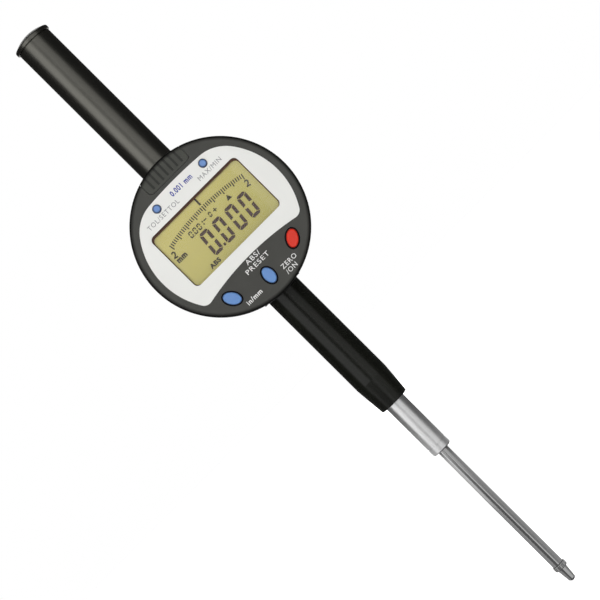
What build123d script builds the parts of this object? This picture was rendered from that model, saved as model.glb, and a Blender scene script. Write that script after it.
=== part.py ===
from build123d import *
from math import asin, cos, radians, sin
import os

# Digital indicator with 50.8 mm of travel. All sizes are in millimetres.
# The spindle runs along Z, with the contact point down. The display faces -Y, and +X is to the right of its reader.
# The origin is on the spindle's axis, in the middle of the stem's clamping length.

# Stem and lower sleeve
stem_r = 4.0
stem_shank_r = 4.5
stem_out = 23.8
stem_bore_r = 3.2
stem_end_len = 2.9
stem_end_bevel = 0.4
stem_groove = 0.35
sleeve_r = 6.75
sleeve_end_r = 5.8
sleeve_taper = 11.4
sleeve_bore_r = 5.2
sleeve_guide_r = 5.75
sleeve_floor = 11.8
sleeve_edge = 0.35
bush_len = 8.0
bush_inset = 0.3
bush_edge = 0.2

# Head and body
sleeve_drop = 85.8
sleeve_top_gap = 0.2
head_rim = 3.4
head_over = 2.2
body_wall = 2.2
body_front_wall = 1.6
body_back_depth = 8.5
body_edge = 0.5
cover_thick = 2.0
cover_inset = 0.3
cover_edge = 0.8
neck_r = 8.4
upper_neck_reach = 2.0
lower_neck_reach = 1.3

# Upper tube and cap
tube_r = 6.95
tube_bore_r = 6.0
tube_top = 92.7
tube_inset = 0.8
cap_r = 7.5
cap_thick = 1.7
cap_dome = 2.0
cap_edge = 0.5
cap_groove = 0.35
cap_plug_len = 3.0

# Spindle and its contact point
travel = 50.8
spindle_r = 2.24
bush_clearance = 0.03
spindle_flat = 1.25
top_gap = 0.9
flat_run = 0.5
point_collar_r = 2.52
point_collar_len = 2.1
point_cone_r = 1.9
point_tip_r = 1.4
point_cone_len = 4.95
point_ball = 0.8
point_thread_r = 1.2
point_thread_len = 5.0
point_edge = 0.2
spindle_edge = 0.4
thread_fit = 0.02
thread_gap = 0.3
tip_drop = 174.55

# Scale, reader, carrier and guide
scale_width = 3.4
scale_thick = 0.8
scale_end = 0.8
scale_margin = 0.2
reader_gap = 0.4
reader_thick = 1.0
reader_width = 15.0
reader_low = 2.0
reader_inset = 2.8
reader_corner = 0.8
reader_screw_x = 5.5
reader_screw_drops = (11.5, 2.4)
reader_post_wall = 0.9
reader_chip = (7.0, 6.0, 1.1)
reader_chip_drop = 6.0
carrier_r = 5.35
carrier_len = 6.6
carrier_front = -1.0
carrier_margin = 0.1
guide_pin_r = 0.8
guide_pin_fit = 0.06
guide_pin_sunk = 1.0
guide_pin_short = 0.2
guide_rail_front = 6.2
guide_rail_thick = 1.6
guide_rail_width = 3.6
guide_rail_corner = 0.6
guide_rail_inset = 1.0
guide_post_x = 10.0
guide_post_inset = 6.8
guide_post_r = 2.0
guide_ear_r = 2.4
stop_gap = 0.3
bumper_thick = 1.5
bumper_bore_r = 4.7
spring_wire_r = 0.3
spring_mean_r = 4.0
spring_pitch = 4.1
anchor_height = 1.4
anchor_gap = 0.05
seat_fit = 0.02
cable_width = 6.0
cable_thick = 0.2
cable_foot_len = 1.0
cable_foot_rise = 1.6
cable_first_drop = 3.5
cable_second_drop = 6.5
cable_low = 4.5
cable_short = 0.4
cable_bend = 0.7

# Front stack of depths, from the rear body's front face to the display's face
body_front = 9.0
turn_gap = 0.3
turn_plate_thick = 1.7
boss_inset = 2.2
boss_wall = 4.0
turn_fit = 0.06
ring_inset = 0.75
ring_thick = 1.0
ring_gap = 0.4
board_thick = 0.8
zebra_height = 1.0
lcd_thick = 1.75
lcd_gap = 0.15
window_thick = 0.75
window_recess = 0.85

# Display face
face_edge = 1.1
face_thick = 1.6
rim_wall = 2.15
lcd_w = 41.0
lcd_aspect = 0.566
lcd_z = 2.28
lcd_corner = 1.9
label_side = 7.3
label_gap = 1.45
label_under = 4.68
label_top_sag = 2.4
label_bottom_sag = 3.8
label_corner_top = 14.0
label_corner_bottom = 3.0
label_thick = 0.2
label_fit = 0.06
window_lap = 0.75
window_fit = 0.1
window_corner = 0.9
panel_inset = 0.1
frame_wall = 0.85
frame_fit = 0.05
frame_corner = 0.8
frame_ledge_w = 0.8
frame_ledge_h = 3.2
strip_inset = 1.7
strip_width = 1.9
strip_fit = 0.1
strip_end = 1.6
resin_w = 9.0
resin_h = 7.0
resin_corner = 1.5
resin_low = 0.2
board_inset = 2.0
board_clear = 0.3
mat_inset = 2.4
mat_gap = 0.4
part_gap = 0.1

# Buttons
round_x = 11.1
round_inset = 3.05
round_r = 1.5
round_hole_gap = 0.12
oval_a = 3.15
oval_b = 2.1
oval_side_a = 3.35
oval_side_b = 2.15
oval_inset = 6.2
oval_angle = 54.28
oval_mid_inset = 7.6
oval_tilt = 38.0
oval_hole_gap = 0.52
button_rise = 0.9
button_dome = 0.6
button_flange = 0.75
button_flange_thick = 0.6
button_travel = 0.45
pad_thick = 0.8
dome_foot_r = 1.6
dome_taper = 24.0
pad_edge = 0.3
dome_gap = 0.05

# Battery drawer and cell
drawer_w = 18.8
drawer_depth = 7.1
drawer_corner = 1.5
drawer_gap = 0.15
drawer_skin = 1.1
rib_pitch = 2.25
rib_grooves = 7
rib_groove_w = 0.85
rib_groove_depth = 0.35
rib_groove_bottom = 0.9
tray_half = 7.2
tray_depth = 15.24
tray_gap = 0.42
tray_clear = 0.3
tray_wall = 1.0
tray_foot = 1.15
cell_r = 5.8
cell_thick = 5.4
cell_play = 0.1
cell_edge = 0.4
drawer_guide_w = 1.0
drawer_guide_h = 3.4
leaf_thick = 0.2
leaf_width = 3.0
leaf_reach = 2.0
leaf_gap = 0.6
leaf_short = 0.3

# Data port
port_half_z = 4.6
port_depth_y = 4.9
port_inset = 0.2
port_plug = 2.9
port_gap = 0.1
port_corner = 0.4
port_edge = 0.15
port_pocket = 3.0
connector_len = 4.0
connector_gap = 0.4
connector_edge = 0.3

# Screws
screw_core_r = 0.8
screw_head_r = 1.7
screw_head = 0.6
small_core_r = 0.6
small_head_r = 1.25
small_head = 0.3
screw_fit = 0.02
screw_head_fit = 0.05
screw_spare = 0.5
slot_len = 2.2
slot_deep = 0.4
cover_screw_inset = 2.5
cover_screw_len = 7.0
cover_boss_r = 2.9
guide_screw_len = 5.0
reader_screw_len = 3.5
turn_screw_inset = 4.8
turn_screw_bite = 3.6
turn_post_r = 2.2
turn_screw_angles = (20, 160, 215, 325)
ring_screw_inset = 1.8
ring_screw_len = 3.5
board_screw_bite = 2.0
board_post_r = 1.6
board_post_low_x = 12.6
board_post_low_gap = 1.03
board_post_high_x = 16.6
board_post_high_gap = 0.27

# Turn stop and friction washer
stop_track_inset = 2.6
stop_pin_r = 0.75
stop_track_gap = 0.15
stop_track_depth = 0.8
stop_track_over = 2.0
turn_limit = 135.0
washer_inset = 3.8
washer_width = 3.0
washer_seat = 0.7
washer_gap = 0.08

# Worked-out sizes of the face, the head and the body, from the display glass outwards
lcd_h = lcd_w * lcd_aspect
frame_in_w = lcd_w + 2 * (window_lap + frame_fit)
frame_in_h = lcd_h + 2 * (window_lap + frame_fit)
frame_top = lcd_z + frame_in_h / 2 + frame_wall
frame_bottom = lcd_z - frame_in_h / 2 - frame_wall
tray_bottom = frame_top + tray_gap
cell_z = tray_bottom + tray_foot + cell_play + cell_r
tray_top = cell_z + cell_r + cell_play + tray_wall
head_r = max(lcd_w / 2 + label_side + head_rim, tray_bottom + tray_depth)
body_r = head_r - head_over
label_r = head_r - head_rim
drawer_bottom = head_r - drawer_depth
label_top = drawer_bottom - label_gap
label_bottom = lcd_z - lcd_h / 2 - label_under
round_z = label_top - round_inset
oval_x = (head_r - oval_inset) * cos(radians(oval_angle))
oval_z = -(head_r - oval_inset) * sin(radians(oval_angle))
oval_mid_z = -(head_r - oval_mid_inset)
port_face = head_r - port_inset
ring_r = tray_bottom - ring_inset
boss_r = ring_r - boss_inset
boss_bore_r = boss_r - boss_wall
ring_screw_r = boss_r - ring_screw_inset
turn_screw_r = head_r - turn_screw_inset
washer_out_r = body_r - washer_inset
washer_in_r = washer_out_r - washer_width
stop_track_r = washer_in_r - stop_track_inset
board_post_low_z = frame_bottom - board_post_low_gap - board_post_r
board_post_high_z = frame_top + board_post_high_gap + board_post_r

# Worked-out stations along Z
stem_bottom = -stem_out / 2
sleeve_end = stem_out / 2
head_z = sleeve_end + sleeve_drop
tip_z = head_z - tip_drop
body_inner_r = body_r - body_wall
cover_screw_r = body_inner_r - cover_screw_inset
guide_post_z = body_inner_r - guide_post_inset
guide_rail_reach = body_inner_r - guide_rail_inset
reader_top = body_inner_r - reader_inset
reader_height = reader_top + reader_low
reader_z = reader_top - reader_height / 2
sleeve_top = head_z - body_inner_r - sleeve_top_gap
sleeve_step = sleeve_end + sleeve_floor
stem_top = sleeve_step + anchor_height
carrier_z = -(body_inner_r - guide_pin_r - carrier_margin)
carrier_mid = head_z + carrier_z
carrier_bottom = carrier_mid - carrier_len / 2
bumper_top = carrier_bottom - stop_gap
bumper_seat = bumper_top - bumper_thick
tube_end = head_z + tube_top
spindle_top = tube_top - cap_plug_len - top_gap - travel
scale_top = spindle_top - scale_end
scale_bottom = -reader_low - travel - scale_margin
flat_start = scale_bottom - flat_run
tube_start = head_z + body_inner_r - tube_inset
point_top = tip_z + point_ball + point_cone_len + point_collar_len

# Worked-out depths, measured from the spindle's axis towards the reader
turn_back = body_front + turn_gap
turn_front = turn_back + turn_plate_thick
ring_back = turn_front + turn_gap
ring_front = ring_back + ring_thick
board_back = ring_front + ring_gap
board_front = board_back + board_thick
lcd_back = board_front + zebra_height
lcd_front = lcd_back + lcd_thick
plate_back = lcd_front + lcd_gap
head_front = plate_back + face_thick
window_front = head_front - window_recess
window_back = window_front - window_thick
button_back = plate_back - part_gap - button_flange_thick
dome_top = button_back - button_travel - dome_gap
cell_front = head_front - drawer_skin
cell_back = cell_front - cell_thick
housing_r = head_r - rim_wall
board_notch = tray_bottom - tray_clear


def facing(depth):
    """Plane square to the display's axis, at a depth in front of the spindle's axis."""
    return Plane(origin=(0, -depth, head_z), x_dir=(1, 0, 0), z_dir=(0, -1, 0))


def level(z):
    """Plane square to the spindle."""
    return Plane.XY.offset(z)


def polar(radius, degrees):
    """Point on the face, as (x, z), from a radius and an angle."""
    return (radius * cos(radians(degrees)), radius * sin(radians(degrees)))


def save(part, name):
    """Label one finished piece and write its file."""
    part.label = name
    export_step(part, "parts/" + name + ".step")


os.makedirs("parts", exist_ok=True)

turn_posts = [polar(turn_screw_r, a) for a in turn_screw_angles]
cover_posts = [polar(cover_screw_r, a) for a in (45, 135, 225, 315)]
ring_points = [polar(ring_screw_r, a) for a in (90, 210, 330)]
guide_posts = [(sx * guide_post_x, sz * guide_post_z) for sx in (-1, 1) for sz in (-1, 1)]
reader_points = [(sx * reader_screw_x, reader_top - drop) for sx in (-1, 1) for drop in reader_screw_drops]
board_posts = [
    (-board_post_low_x, board_post_low_z),
    (board_post_low_x, board_post_low_z),
    (-board_post_high_x, board_post_high_z),
    (board_post_high_x, board_post_high_z),
]
reader_front = spindle_flat + scale_thick + reader_gap + reader_thick
reader_back = reader_front - reader_thick


# Rear body: a round cup, open to the back, with two necks, a boss to the front and posts inside
with BuildPart() as rear_body:
    with BuildSketch(facing(-body_back_depth)):
        Circle(body_r)
    extrude(amount=body_front + body_back_depth)
    chamfer(rear_body.faces().sort_by(Axis.Y)[-1].edges(), body_edge)
    with BuildSketch(level(head_z + body_inner_r)):
        Circle(neck_r)
    extrude(amount=body_wall + upper_neck_reach)
    with BuildSketch(level(head_z - body_inner_r)):
        Circle(neck_r)
    extrude(amount=-(body_wall + lower_neck_reach))
    with BuildSketch(facing(-body_back_depth)):
        Circle(body_inner_r)
    extrude(amount=body_front - body_front_wall + body_back_depth, mode=Mode.SUBTRACT)
    with BuildSketch(facing(body_front)):
        Circle(boss_r)
    extrude(amount=ring_back - body_front)
    with BuildSketch(facing(body_front - body_front_wall)):
        with Locations(*cover_posts):
            Circle(cover_boss_r)
    extrude(amount=-(body_front - body_front_wall + body_back_depth))
    with BuildSketch(facing(body_front - body_front_wall)):
        with Locations(*guide_posts):
            Circle(guide_post_r)
    extrude(amount=-(body_front - body_front_wall + guide_rail_front))
    with BuildSketch(facing(body_front - body_front_wall)):
        with Locations(*reader_points):
            Circle(small_core_r + reader_post_wall)
    extrude(amount=-(body_front - body_front_wall - reader_front))
    # Bores for the tube, the sleeve and the cable, and the screws' holes
    with BuildSketch(level(head_z)):
        Circle(tube_r)
    extrude(amount=body_r + upper_neck_reach, mode=Mode.SUBTRACT)
    with BuildSketch(level(head_z)):
        Circle(sleeve_r)
    extrude(amount=-(body_r + lower_neck_reach), mode=Mode.SUBTRACT)
    with BuildSketch(facing(body_front - body_front_wall)):
        Circle(boss_bore_r)
    extrude(amount=ring_back, mode=Mode.SUBTRACT)
    with BuildSketch(facing(-body_back_depth)):
        with Locations(*cover_posts):
            Circle(screw_core_r)
    extrude(amount=cover_screw_len + screw_spare, mode=Mode.SUBTRACT)
    with BuildSketch(facing(-guide_rail_front)):
        with Locations(*guide_posts):
            Circle(small_core_r)
    extrude(amount=guide_screw_len - guide_rail_thick + screw_spare, mode=Mode.SUBTRACT)
    with BuildSketch(facing(reader_front)):
        with Locations(*reader_points):
            Circle(small_core_r)
    extrude(amount=reader_screw_len - reader_thick + screw_spare, mode=Mode.SUBTRACT)
    with BuildSketch(facing(ring_back)):
        with Locations(*ring_points):
            Circle(small_core_r)
    extrude(amount=ring_thick - small_head - ring_screw_len - screw_spare, mode=Mode.SUBTRACT)
    # Seat of the friction washer, and the arc track that the stop pin runs in
    with BuildSketch(facing(body_front)):
        Circle(washer_out_r + part_gap)
        Circle(washer_in_r - part_gap, mode=Mode.SUBTRACT)
    extrude(amount=-washer_seat, mode=Mode.SUBTRACT)
    with BuildSketch(facing(body_front)):
        with BuildLine():
            CenterArc((0, 0), stop_track_r, 90 - turn_limit - stop_track_over, 2 * (turn_limit + stop_track_over))
            offset(amount=stop_pin_r + stop_track_gap, side=Side.BOTH)
        make_face()
    extrude(amount=-stop_track_depth, mode=Mode.SUBTRACT)
save(rear_body.part, "rear_body")

# Flat cover at the back, with countersunk screws
with BuildPart() as back_cover:
    with BuildSketch(facing(-body_back_depth - cover_thick)):
        Circle(body_r - cover_inset)
    extrude(amount=cover_thick)
    fillet(back_cover.faces().sort_by(Axis.Y)[-1].edges(), cover_edge)
    cover_face = Plane(origin=(0, body_back_depth + cover_thick, head_z), x_dir=(-1, 0, 0), z_dir=(0, 1, 0))
    with Locations(cover_face):
        with Locations(*cover_posts):
            CounterSinkHole(screw_core_r, screw_head_r, depth=2 * cover_thick)
save(back_cover.part, "back_cover")

with BuildPart() as cover_screws:
    with BuildSketch(facing(-body_back_depth - cover_thick)):
        with Locations(*cover_posts):
            Circle(screw_head_r - screw_fit)
    extrude(amount=screw_head_r - screw_core_r, taper=45)
    with BuildSketch(facing(-body_back_depth - cover_thick)):
        with Locations(*cover_posts):
            Circle(screw_core_r - screw_fit)
    extrude(amount=cover_thick + cover_screw_len)
    with BuildSketch(facing(-body_back_depth - cover_thick)):
        with Locations(*cover_posts):
            SlotOverall(slot_len, slot_deep)
    extrude(amount=slot_deep, mode=Mode.SUBTRACT)
save(cover_screws.part, "cover_screws")

# Upper tube, screwed into the body's upper neck
with BuildPart() as upper_tube:
    with BuildSketch(Plane.XZ):
        with BuildLine():
            Polyline(
                (tube_bore_r, tube_start),
                (tube_r, tube_start),
                (tube_r, tube_end),
                (tube_bore_r, tube_end),
                close=True,
            )
        make_face()
    revolve(axis=Axis.Z)
save(upper_tube.part, "upper_tube")

# End cap: a flange with a shallow dome, a groove under it and a plug in the tube
with BuildPart() as end_cap:
    with BuildSketch(Plane.XZ):
        with BuildLine():
            Polyline(
                (0, tube_end - cap_plug_len),
                (tube_bore_r - seat_fit, tube_end - cap_plug_len),
                (tube_bore_r - seat_fit, tube_end),
                (tube_r - cap_groove, tube_end),
                (tube_r - cap_groove, tube_end + cap_groove),
                (cap_r, tube_end + cap_groove),
                (cap_r, tube_end + cap_thick),
            )
            ThreePointArc(
                (cap_r, tube_end + cap_thick),
                (cap_r / 2, tube_end + cap_thick + cap_dome * 0.75),
                (0, tube_end + cap_thick + cap_dome),
            )
            Line((0, tube_end + cap_thick + cap_dome), (0, tube_end - cap_plug_len))
        make_face()
    revolve(axis=Axis.Z)
    rim = end_cap.edges().filter_by(GeomType.CIRCLE).filter_by(lambda e: abs(e.radius - cap_r) < 0.01)
    fillet(rim.sort_by(Axis.Z)[-1], cap_edge)
    fillet(rim.sort_by(Axis.Z)[0], cap_edge / 2)
save(end_cap.part, "end_cap")

# Lower sleeve: straight, then tapered to the stem, bored in two steps
with BuildPart() as lower_sleeve:
    with BuildSketch(Plane.XZ):
        with BuildLine():
            Polyline(
                (stem_shank_r, sleeve_end),
                (sleeve_end_r, sleeve_end),
                (sleeve_r, sleeve_end + sleeve_taper),
                (sleeve_r, sleeve_top),
                (sleeve_guide_r, sleeve_top),
                (sleeve_guide_r, bumper_seat),
                (sleeve_bore_r, bumper_seat),
                (sleeve_bore_r, sleeve_step),
                (stem_shank_r, sleeve_step),
                close=True,
            )
        make_face()
    revolve(axis=Axis.Z)
    end_rim = lower_sleeve.edges().filter_by(GeomType.CIRCLE).filter_by(lambda e: abs(e.radius - sleeve_end_r) < 0.01)
    fillet(end_rim, sleeve_edge)
save(lower_sleeve.part, "lower_sleeve")

# Clamping stem, with a fine groove above its end and a wider shank pressed into the sleeve
with BuildPart() as stem:
    with BuildSketch(Plane.XZ):
        with BuildLine():
            Polyline(
                (stem_bore_r, stem_bottom),
                (stem_r - stem_end_bevel, stem_bottom),
                (stem_r, stem_bottom + stem_end_bevel),
                (stem_r, stem_bottom + stem_end_len),
                (stem_r - stem_groove, stem_bottom + stem_end_len),
                (stem_r - stem_groove, stem_bottom + stem_end_len + stem_groove),
                (stem_r, stem_bottom + stem_end_len + stem_groove),
                (stem_r, sleeve_end),
                (stem_shank_r, sleeve_end),
                (stem_shank_r, stem_top),
                (stem_bore_r, stem_top),
                close=True,
            )
        make_face()
    revolve(axis=Axis.Z)
save(stem.part, "stem")


# Plain bearings in the stem's two ends
def bush(bottom):
    """One bronze bush, from its lower end."""
    with BuildPart() as made:
        with BuildSketch(level(bottom)):
            Circle(stem_bore_r)
            Circle(spindle_r + bush_clearance, mode=Mode.SUBTRACT)
        extrude(amount=bush_len)
        chamfer(made.edges().filter_by(GeomType.CIRCLE).filter_by(lambda e: e.radius < stem_bore_r - bush_edge), bush_edge)
    return made.part


save(bush(stem_bottom + bush_inset), "lower_bush")
save(bush(stem_top - bush_len), "upper_bush")

# Ring over the stem's top that holds the spring's lower end
with BuildPart() as spring_anchor:
    with BuildSketch(level(sleeve_step)):
        Circle(sleeve_bore_r - anchor_gap)
        Circle(stem_shank_r + seat_fit, mode=Mode.SUBTRACT)
    extrude(amount=anchor_height)
save(spring_anchor.part, "spring_anchor")

# Extension spring round the spindle, from the anchor ring to the carrier
spring_bottom = sleeve_step + anchor_height + spring_wire_r
spring_height = carrier_bottom - spring_wire_r - spring_bottom
with BuildPart() as return_spring:
    with BuildLine():
        Helix(spring_pitch, spring_height, spring_mean_r, center=(0, 0, spring_bottom))
    with BuildSketch(Plane(origin=(spring_mean_r, 0, spring_bottom), z_dir=(0, 1, 0))):
        Circle(spring_wire_r)
    sweep(is_frenet=True)
save(return_spring.part, "return_spring")

# Rubber ring in the sleeve that the carrier comes down on
with BuildPart() as stop_bumper:
    with BuildSketch(level(bumper_seat)):
        Circle(sleeve_guide_r - seat_fit)
        Circle(bumper_bore_r, mode=Mode.SUBTRACT)
    extrude(amount=bumper_thick)
save(stop_bumper.part, "stop_bumper")

# Pair of rails that keeps the spindle from turning
rail_in = guide_pin_r + guide_pin_fit
with BuildPart() as guide_rails:
    with BuildSketch(facing(-guide_rail_front - guide_rail_thick)):
        for side in (-1, 1):
            with Locations((side * (rail_in + guide_rail_width / 2), 0)):
                RectangleRounded(guide_rail_width, 2 * guide_rail_reach, guide_rail_corner)
            for z in (-guide_post_z, guide_post_z):
                with Locations((side * (rail_in + guide_post_x) / 2, z)):
                    Rectangle(guide_post_x - rail_in, 2 * guide_ear_r)
        with Locations(*guide_posts):
            Circle(guide_ear_r)
            Circle(small_core_r, mode=Mode.SUBTRACT)
    extrude(amount=guide_rail_thick)
save(guide_rails.part, "guide_rails")


def pan_screws(points, head_depth, length, inward):
    """Like screws with low round heads, standing on a face at a depth. Inward is +1 towards the reader."""
    with BuildPart() as made:
        with BuildSketch(facing(head_depth)):
            with Locations(*points):
                Circle(small_head_r)
        extrude(amount=-inward * small_head)
        with BuildSketch(facing(head_depth)):
            with Locations(*points):
                Circle(small_core_r - screw_fit)
        extrude(amount=inward * length)
    return made.part


save(pan_screws(guide_posts, -guide_rail_front - guide_rail_thick, guide_screw_len, 1), "guide_screws")

# Reader board, in front of the scale, with its chip on the far side
with BuildPart() as reader_board:
    with BuildSketch(facing(reader_back)):
        with Locations((0, reader_z)):
            RectangleRounded(reader_width, reader_height, reader_corner)
        with Locations(*reader_points):
            Circle(small_core_r, mode=Mode.SUBTRACT)
    extrude(amount=reader_thick)
    with BuildSketch(facing(reader_front)):
        with Locations((0, reader_z - reader_chip_drop)):
            Rectangle(reader_chip[0], reader_chip[1])
    extrude(amount=reader_chip[2])
save(reader_board.part, "reader_board")
save(pan_screws(reader_points, reader_back, reader_screw_len, 1), "reader_screws")

# Flat cable from the reader board through the boss to the display board
cable_foot = head_z - reader_low + cable_foot_len
with BuildPart() as flex_cable:
    with BuildSketch(Plane.YZ.offset(-cable_width / 2)):
        with BuildLine():
            run = FilletPolyline(
                (-reader_front - cable_thick, cable_foot),
                (-reader_front - cable_thick, cable_foot + cable_foot_rise),
                (-reader_front - cable_first_drop, cable_foot + cable_foot_rise),
                (-reader_front - cable_first_drop, head_z - cable_low),
                (-reader_front - cable_second_drop, head_z - cable_low),
                (-reader_front - cable_second_drop, head_z),
                (-board_back + cable_short, head_z),
                radius=cable_bend,
            )
            offset(run, amount=cable_thick / 2, side=Side.BOTH)
        make_face()
    extrude(amount=cable_width)
save(flex_cable.part, "flex_cable")

# Retaining ring on the boss, in front of the turn plate
with BuildPart() as retaining_ring:
    with BuildSketch(facing(ring_back)):
        Circle(ring_r)
        Circle(boss_bore_r, mode=Mode.SUBTRACT)
        with Locations(*ring_points):
            Circle(small_core_r, mode=Mode.SUBTRACT)
    extrude(amount=ring_thick)
    with BuildSketch(facing(ring_front)):
        with Locations(*ring_points):
            Circle(small_head_r + part_gap)
    extrude(amount=-small_head, mode=Mode.SUBTRACT)
save(retaining_ring.part, "retaining_ring")
save(pan_screws(ring_points, ring_front - small_head, ring_screw_len, -1), "ring_screws")

# Flat washer that holds the display where it is turned
with BuildPart() as friction_washer:
    with BuildSketch(facing(body_front - washer_seat)):
        Circle(washer_out_r)
        Circle(washer_in_r, mode=Mode.SUBTRACT)
    extrude(amount=washer_seat + turn_gap - washer_gap)
save(friction_washer.part, "friction_washer")

# Spindle: round below, with a flat above for the scale, and a tapped hole for the point
with BuildPart() as spindle:
    with BuildSketch(level(point_top)):
        Circle(spindle_r)
    extrude(amount=head_z + spindle_top - point_top)
    chamfer(spindle.edges().sort_by(Axis.Z)[-1], spindle_edge)
    with BuildSketch(level(head_z + flat_start)):
        with Locations((0, -spindle_flat - spindle_r)):
            Rectangle(3 * spindle_r, 2 * spindle_r)
    extrude(amount=spindle_top - flat_start, mode=Mode.SUBTRACT)
    with BuildSketch(level(point_top)):
        Circle(point_thread_r)
    extrude(amount=point_thread_len, mode=Mode.SUBTRACT)
    with BuildSketch(Plane.XZ):
        with Locations((0, carrier_mid)):
            Circle(guide_pin_r)
    extrude(amount=spindle_r, both=True, mode=Mode.SUBTRACT)
save(spindle.part, "spindle")

# Contact point: collar, tapered shank and ball end
ball_start = tip_z + point_ball
ball_r = (point_tip_r**2 + point_ball**2) / (2 * point_ball)
ball_half = asin(point_tip_r / ball_r) / 2
thread_top = point_top + point_thread_len - thread_gap
with BuildPart() as contact_point:
    with BuildSketch(Plane.XZ):
        with BuildLine():
            Polyline(
                (0, thread_top),
                (point_thread_r - thread_fit, thread_top),
                (point_thread_r - thread_fit, point_top),
                (point_collar_r - point_edge, point_top),
                (point_collar_r, point_top - point_edge),
                (point_collar_r, point_top - point_collar_len + point_edge),
                (point_collar_r - point_edge, point_top - point_collar_len),
                (point_cone_r, point_top - point_collar_len),
                (point_tip_r, ball_start),
            )
            ThreePointArc(
                (point_tip_r, ball_start),
                (ball_r * sin(ball_half), tip_z + ball_r * (1 - cos(ball_half))),
                (0, tip_z),
            )
            Line((0, tip_z), (0, thread_top))
        make_face()
    revolve(axis=Axis.Z)
save(contact_point.part, "contact_point")

# Half collar behind the scale, clamped on the spindle by the guide pin
with BuildPart() as spindle_carrier:
    with BuildSketch(level(carrier_bottom)):
        Circle(carrier_r)
        with Locations((0, carrier_front - carrier_r)):
            Rectangle(3 * carrier_r, 2 * carrier_r, mode=Mode.SUBTRACT)
        Circle(spindle_r, mode=Mode.SUBTRACT)
    extrude(amount=carrier_len)
    with BuildSketch(Plane.XZ):
        with Locations((0, carrier_mid)):
            Circle(guide_pin_r)
    extrude(amount=-2 * carrier_r, mode=Mode.SUBTRACT)
save(spindle_carrier.part, "spindle_carrier")

with BuildPart() as guide_pin:
    with BuildSketch(Plane.XZ.offset(-spindle_r + guide_pin_sunk)):
        with Locations((0, carrier_mid)):
            Circle(guide_pin_r)
    extrude(amount=spindle_r - guide_pin_sunk - guide_rail_front - guide_rail_thick + guide_pin_short)
save(guide_pin.part, "guide_pin")

# Coded strip on the spindle's flat
with BuildPart() as scale_strip:
    with BuildSketch(facing(spindle_flat)):
        with Locations((0, (scale_top + scale_bottom) / 2)):
            Rectangle(scale_width, scale_top - scale_bottom)
    extrude(amount=scale_thick)
save(scale_strip.part, "scale_strip")


# Outline of the white label: sides on a circle, the top and bottom edges gently arched
def label_outline(shrink):
    """Sketch of the label, or of a shape inside it by a margin."""
    side = label_r - shrink
    top = label_top - shrink
    bottom = label_bottom + shrink
    with BuildSketch(mode=Mode.PRIVATE) as made:
        with BuildLine():
            ThreePointArc((-side, top - label_top_sag), (0, top), (side, top - label_top_sag))
            Line((side, top - label_top_sag), (side, bottom - label_bottom_sag))
            ThreePointArc((side, bottom - label_bottom_sag), (0, bottom), (-side, bottom - label_bottom_sag))
            Line((-side, bottom - label_bottom_sag), (-side, top - label_top_sag))
        make_face()
        Circle(side, mode=Mode.INTERSECT)
        high = made.vertices().group_by(Axis.Y)[-1]
        fillet(high, label_corner_top - shrink)
        low = made.vertices().group_by(Axis.Y)[0]
        fillet(low, label_corner_bottom - shrink)
    return made.sketch


ovals = {
    "in_mm_button": (-oval_x, oval_z, oval_side_b, oval_side_a, oval_tilt),
    "preset_button": (0.0, oval_mid_z, oval_b, oval_a, 0.0),
    "zero_button": (oval_x, oval_z, oval_side_b, oval_side_a, -oval_tilt),
}
rounds = {
    "tol_button": (-round_x, round_z),
    "max_min_button": (round_x, round_z),
}
drawer_guide_x = drawer_w / 2 + drawer_gap + drawer_guide_w / 2
port_mid = (plate_back + turn_front) / 2
port_low = port_mid - port_depth_y / 2
port_high = port_mid + port_depth_y / 2

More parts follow.
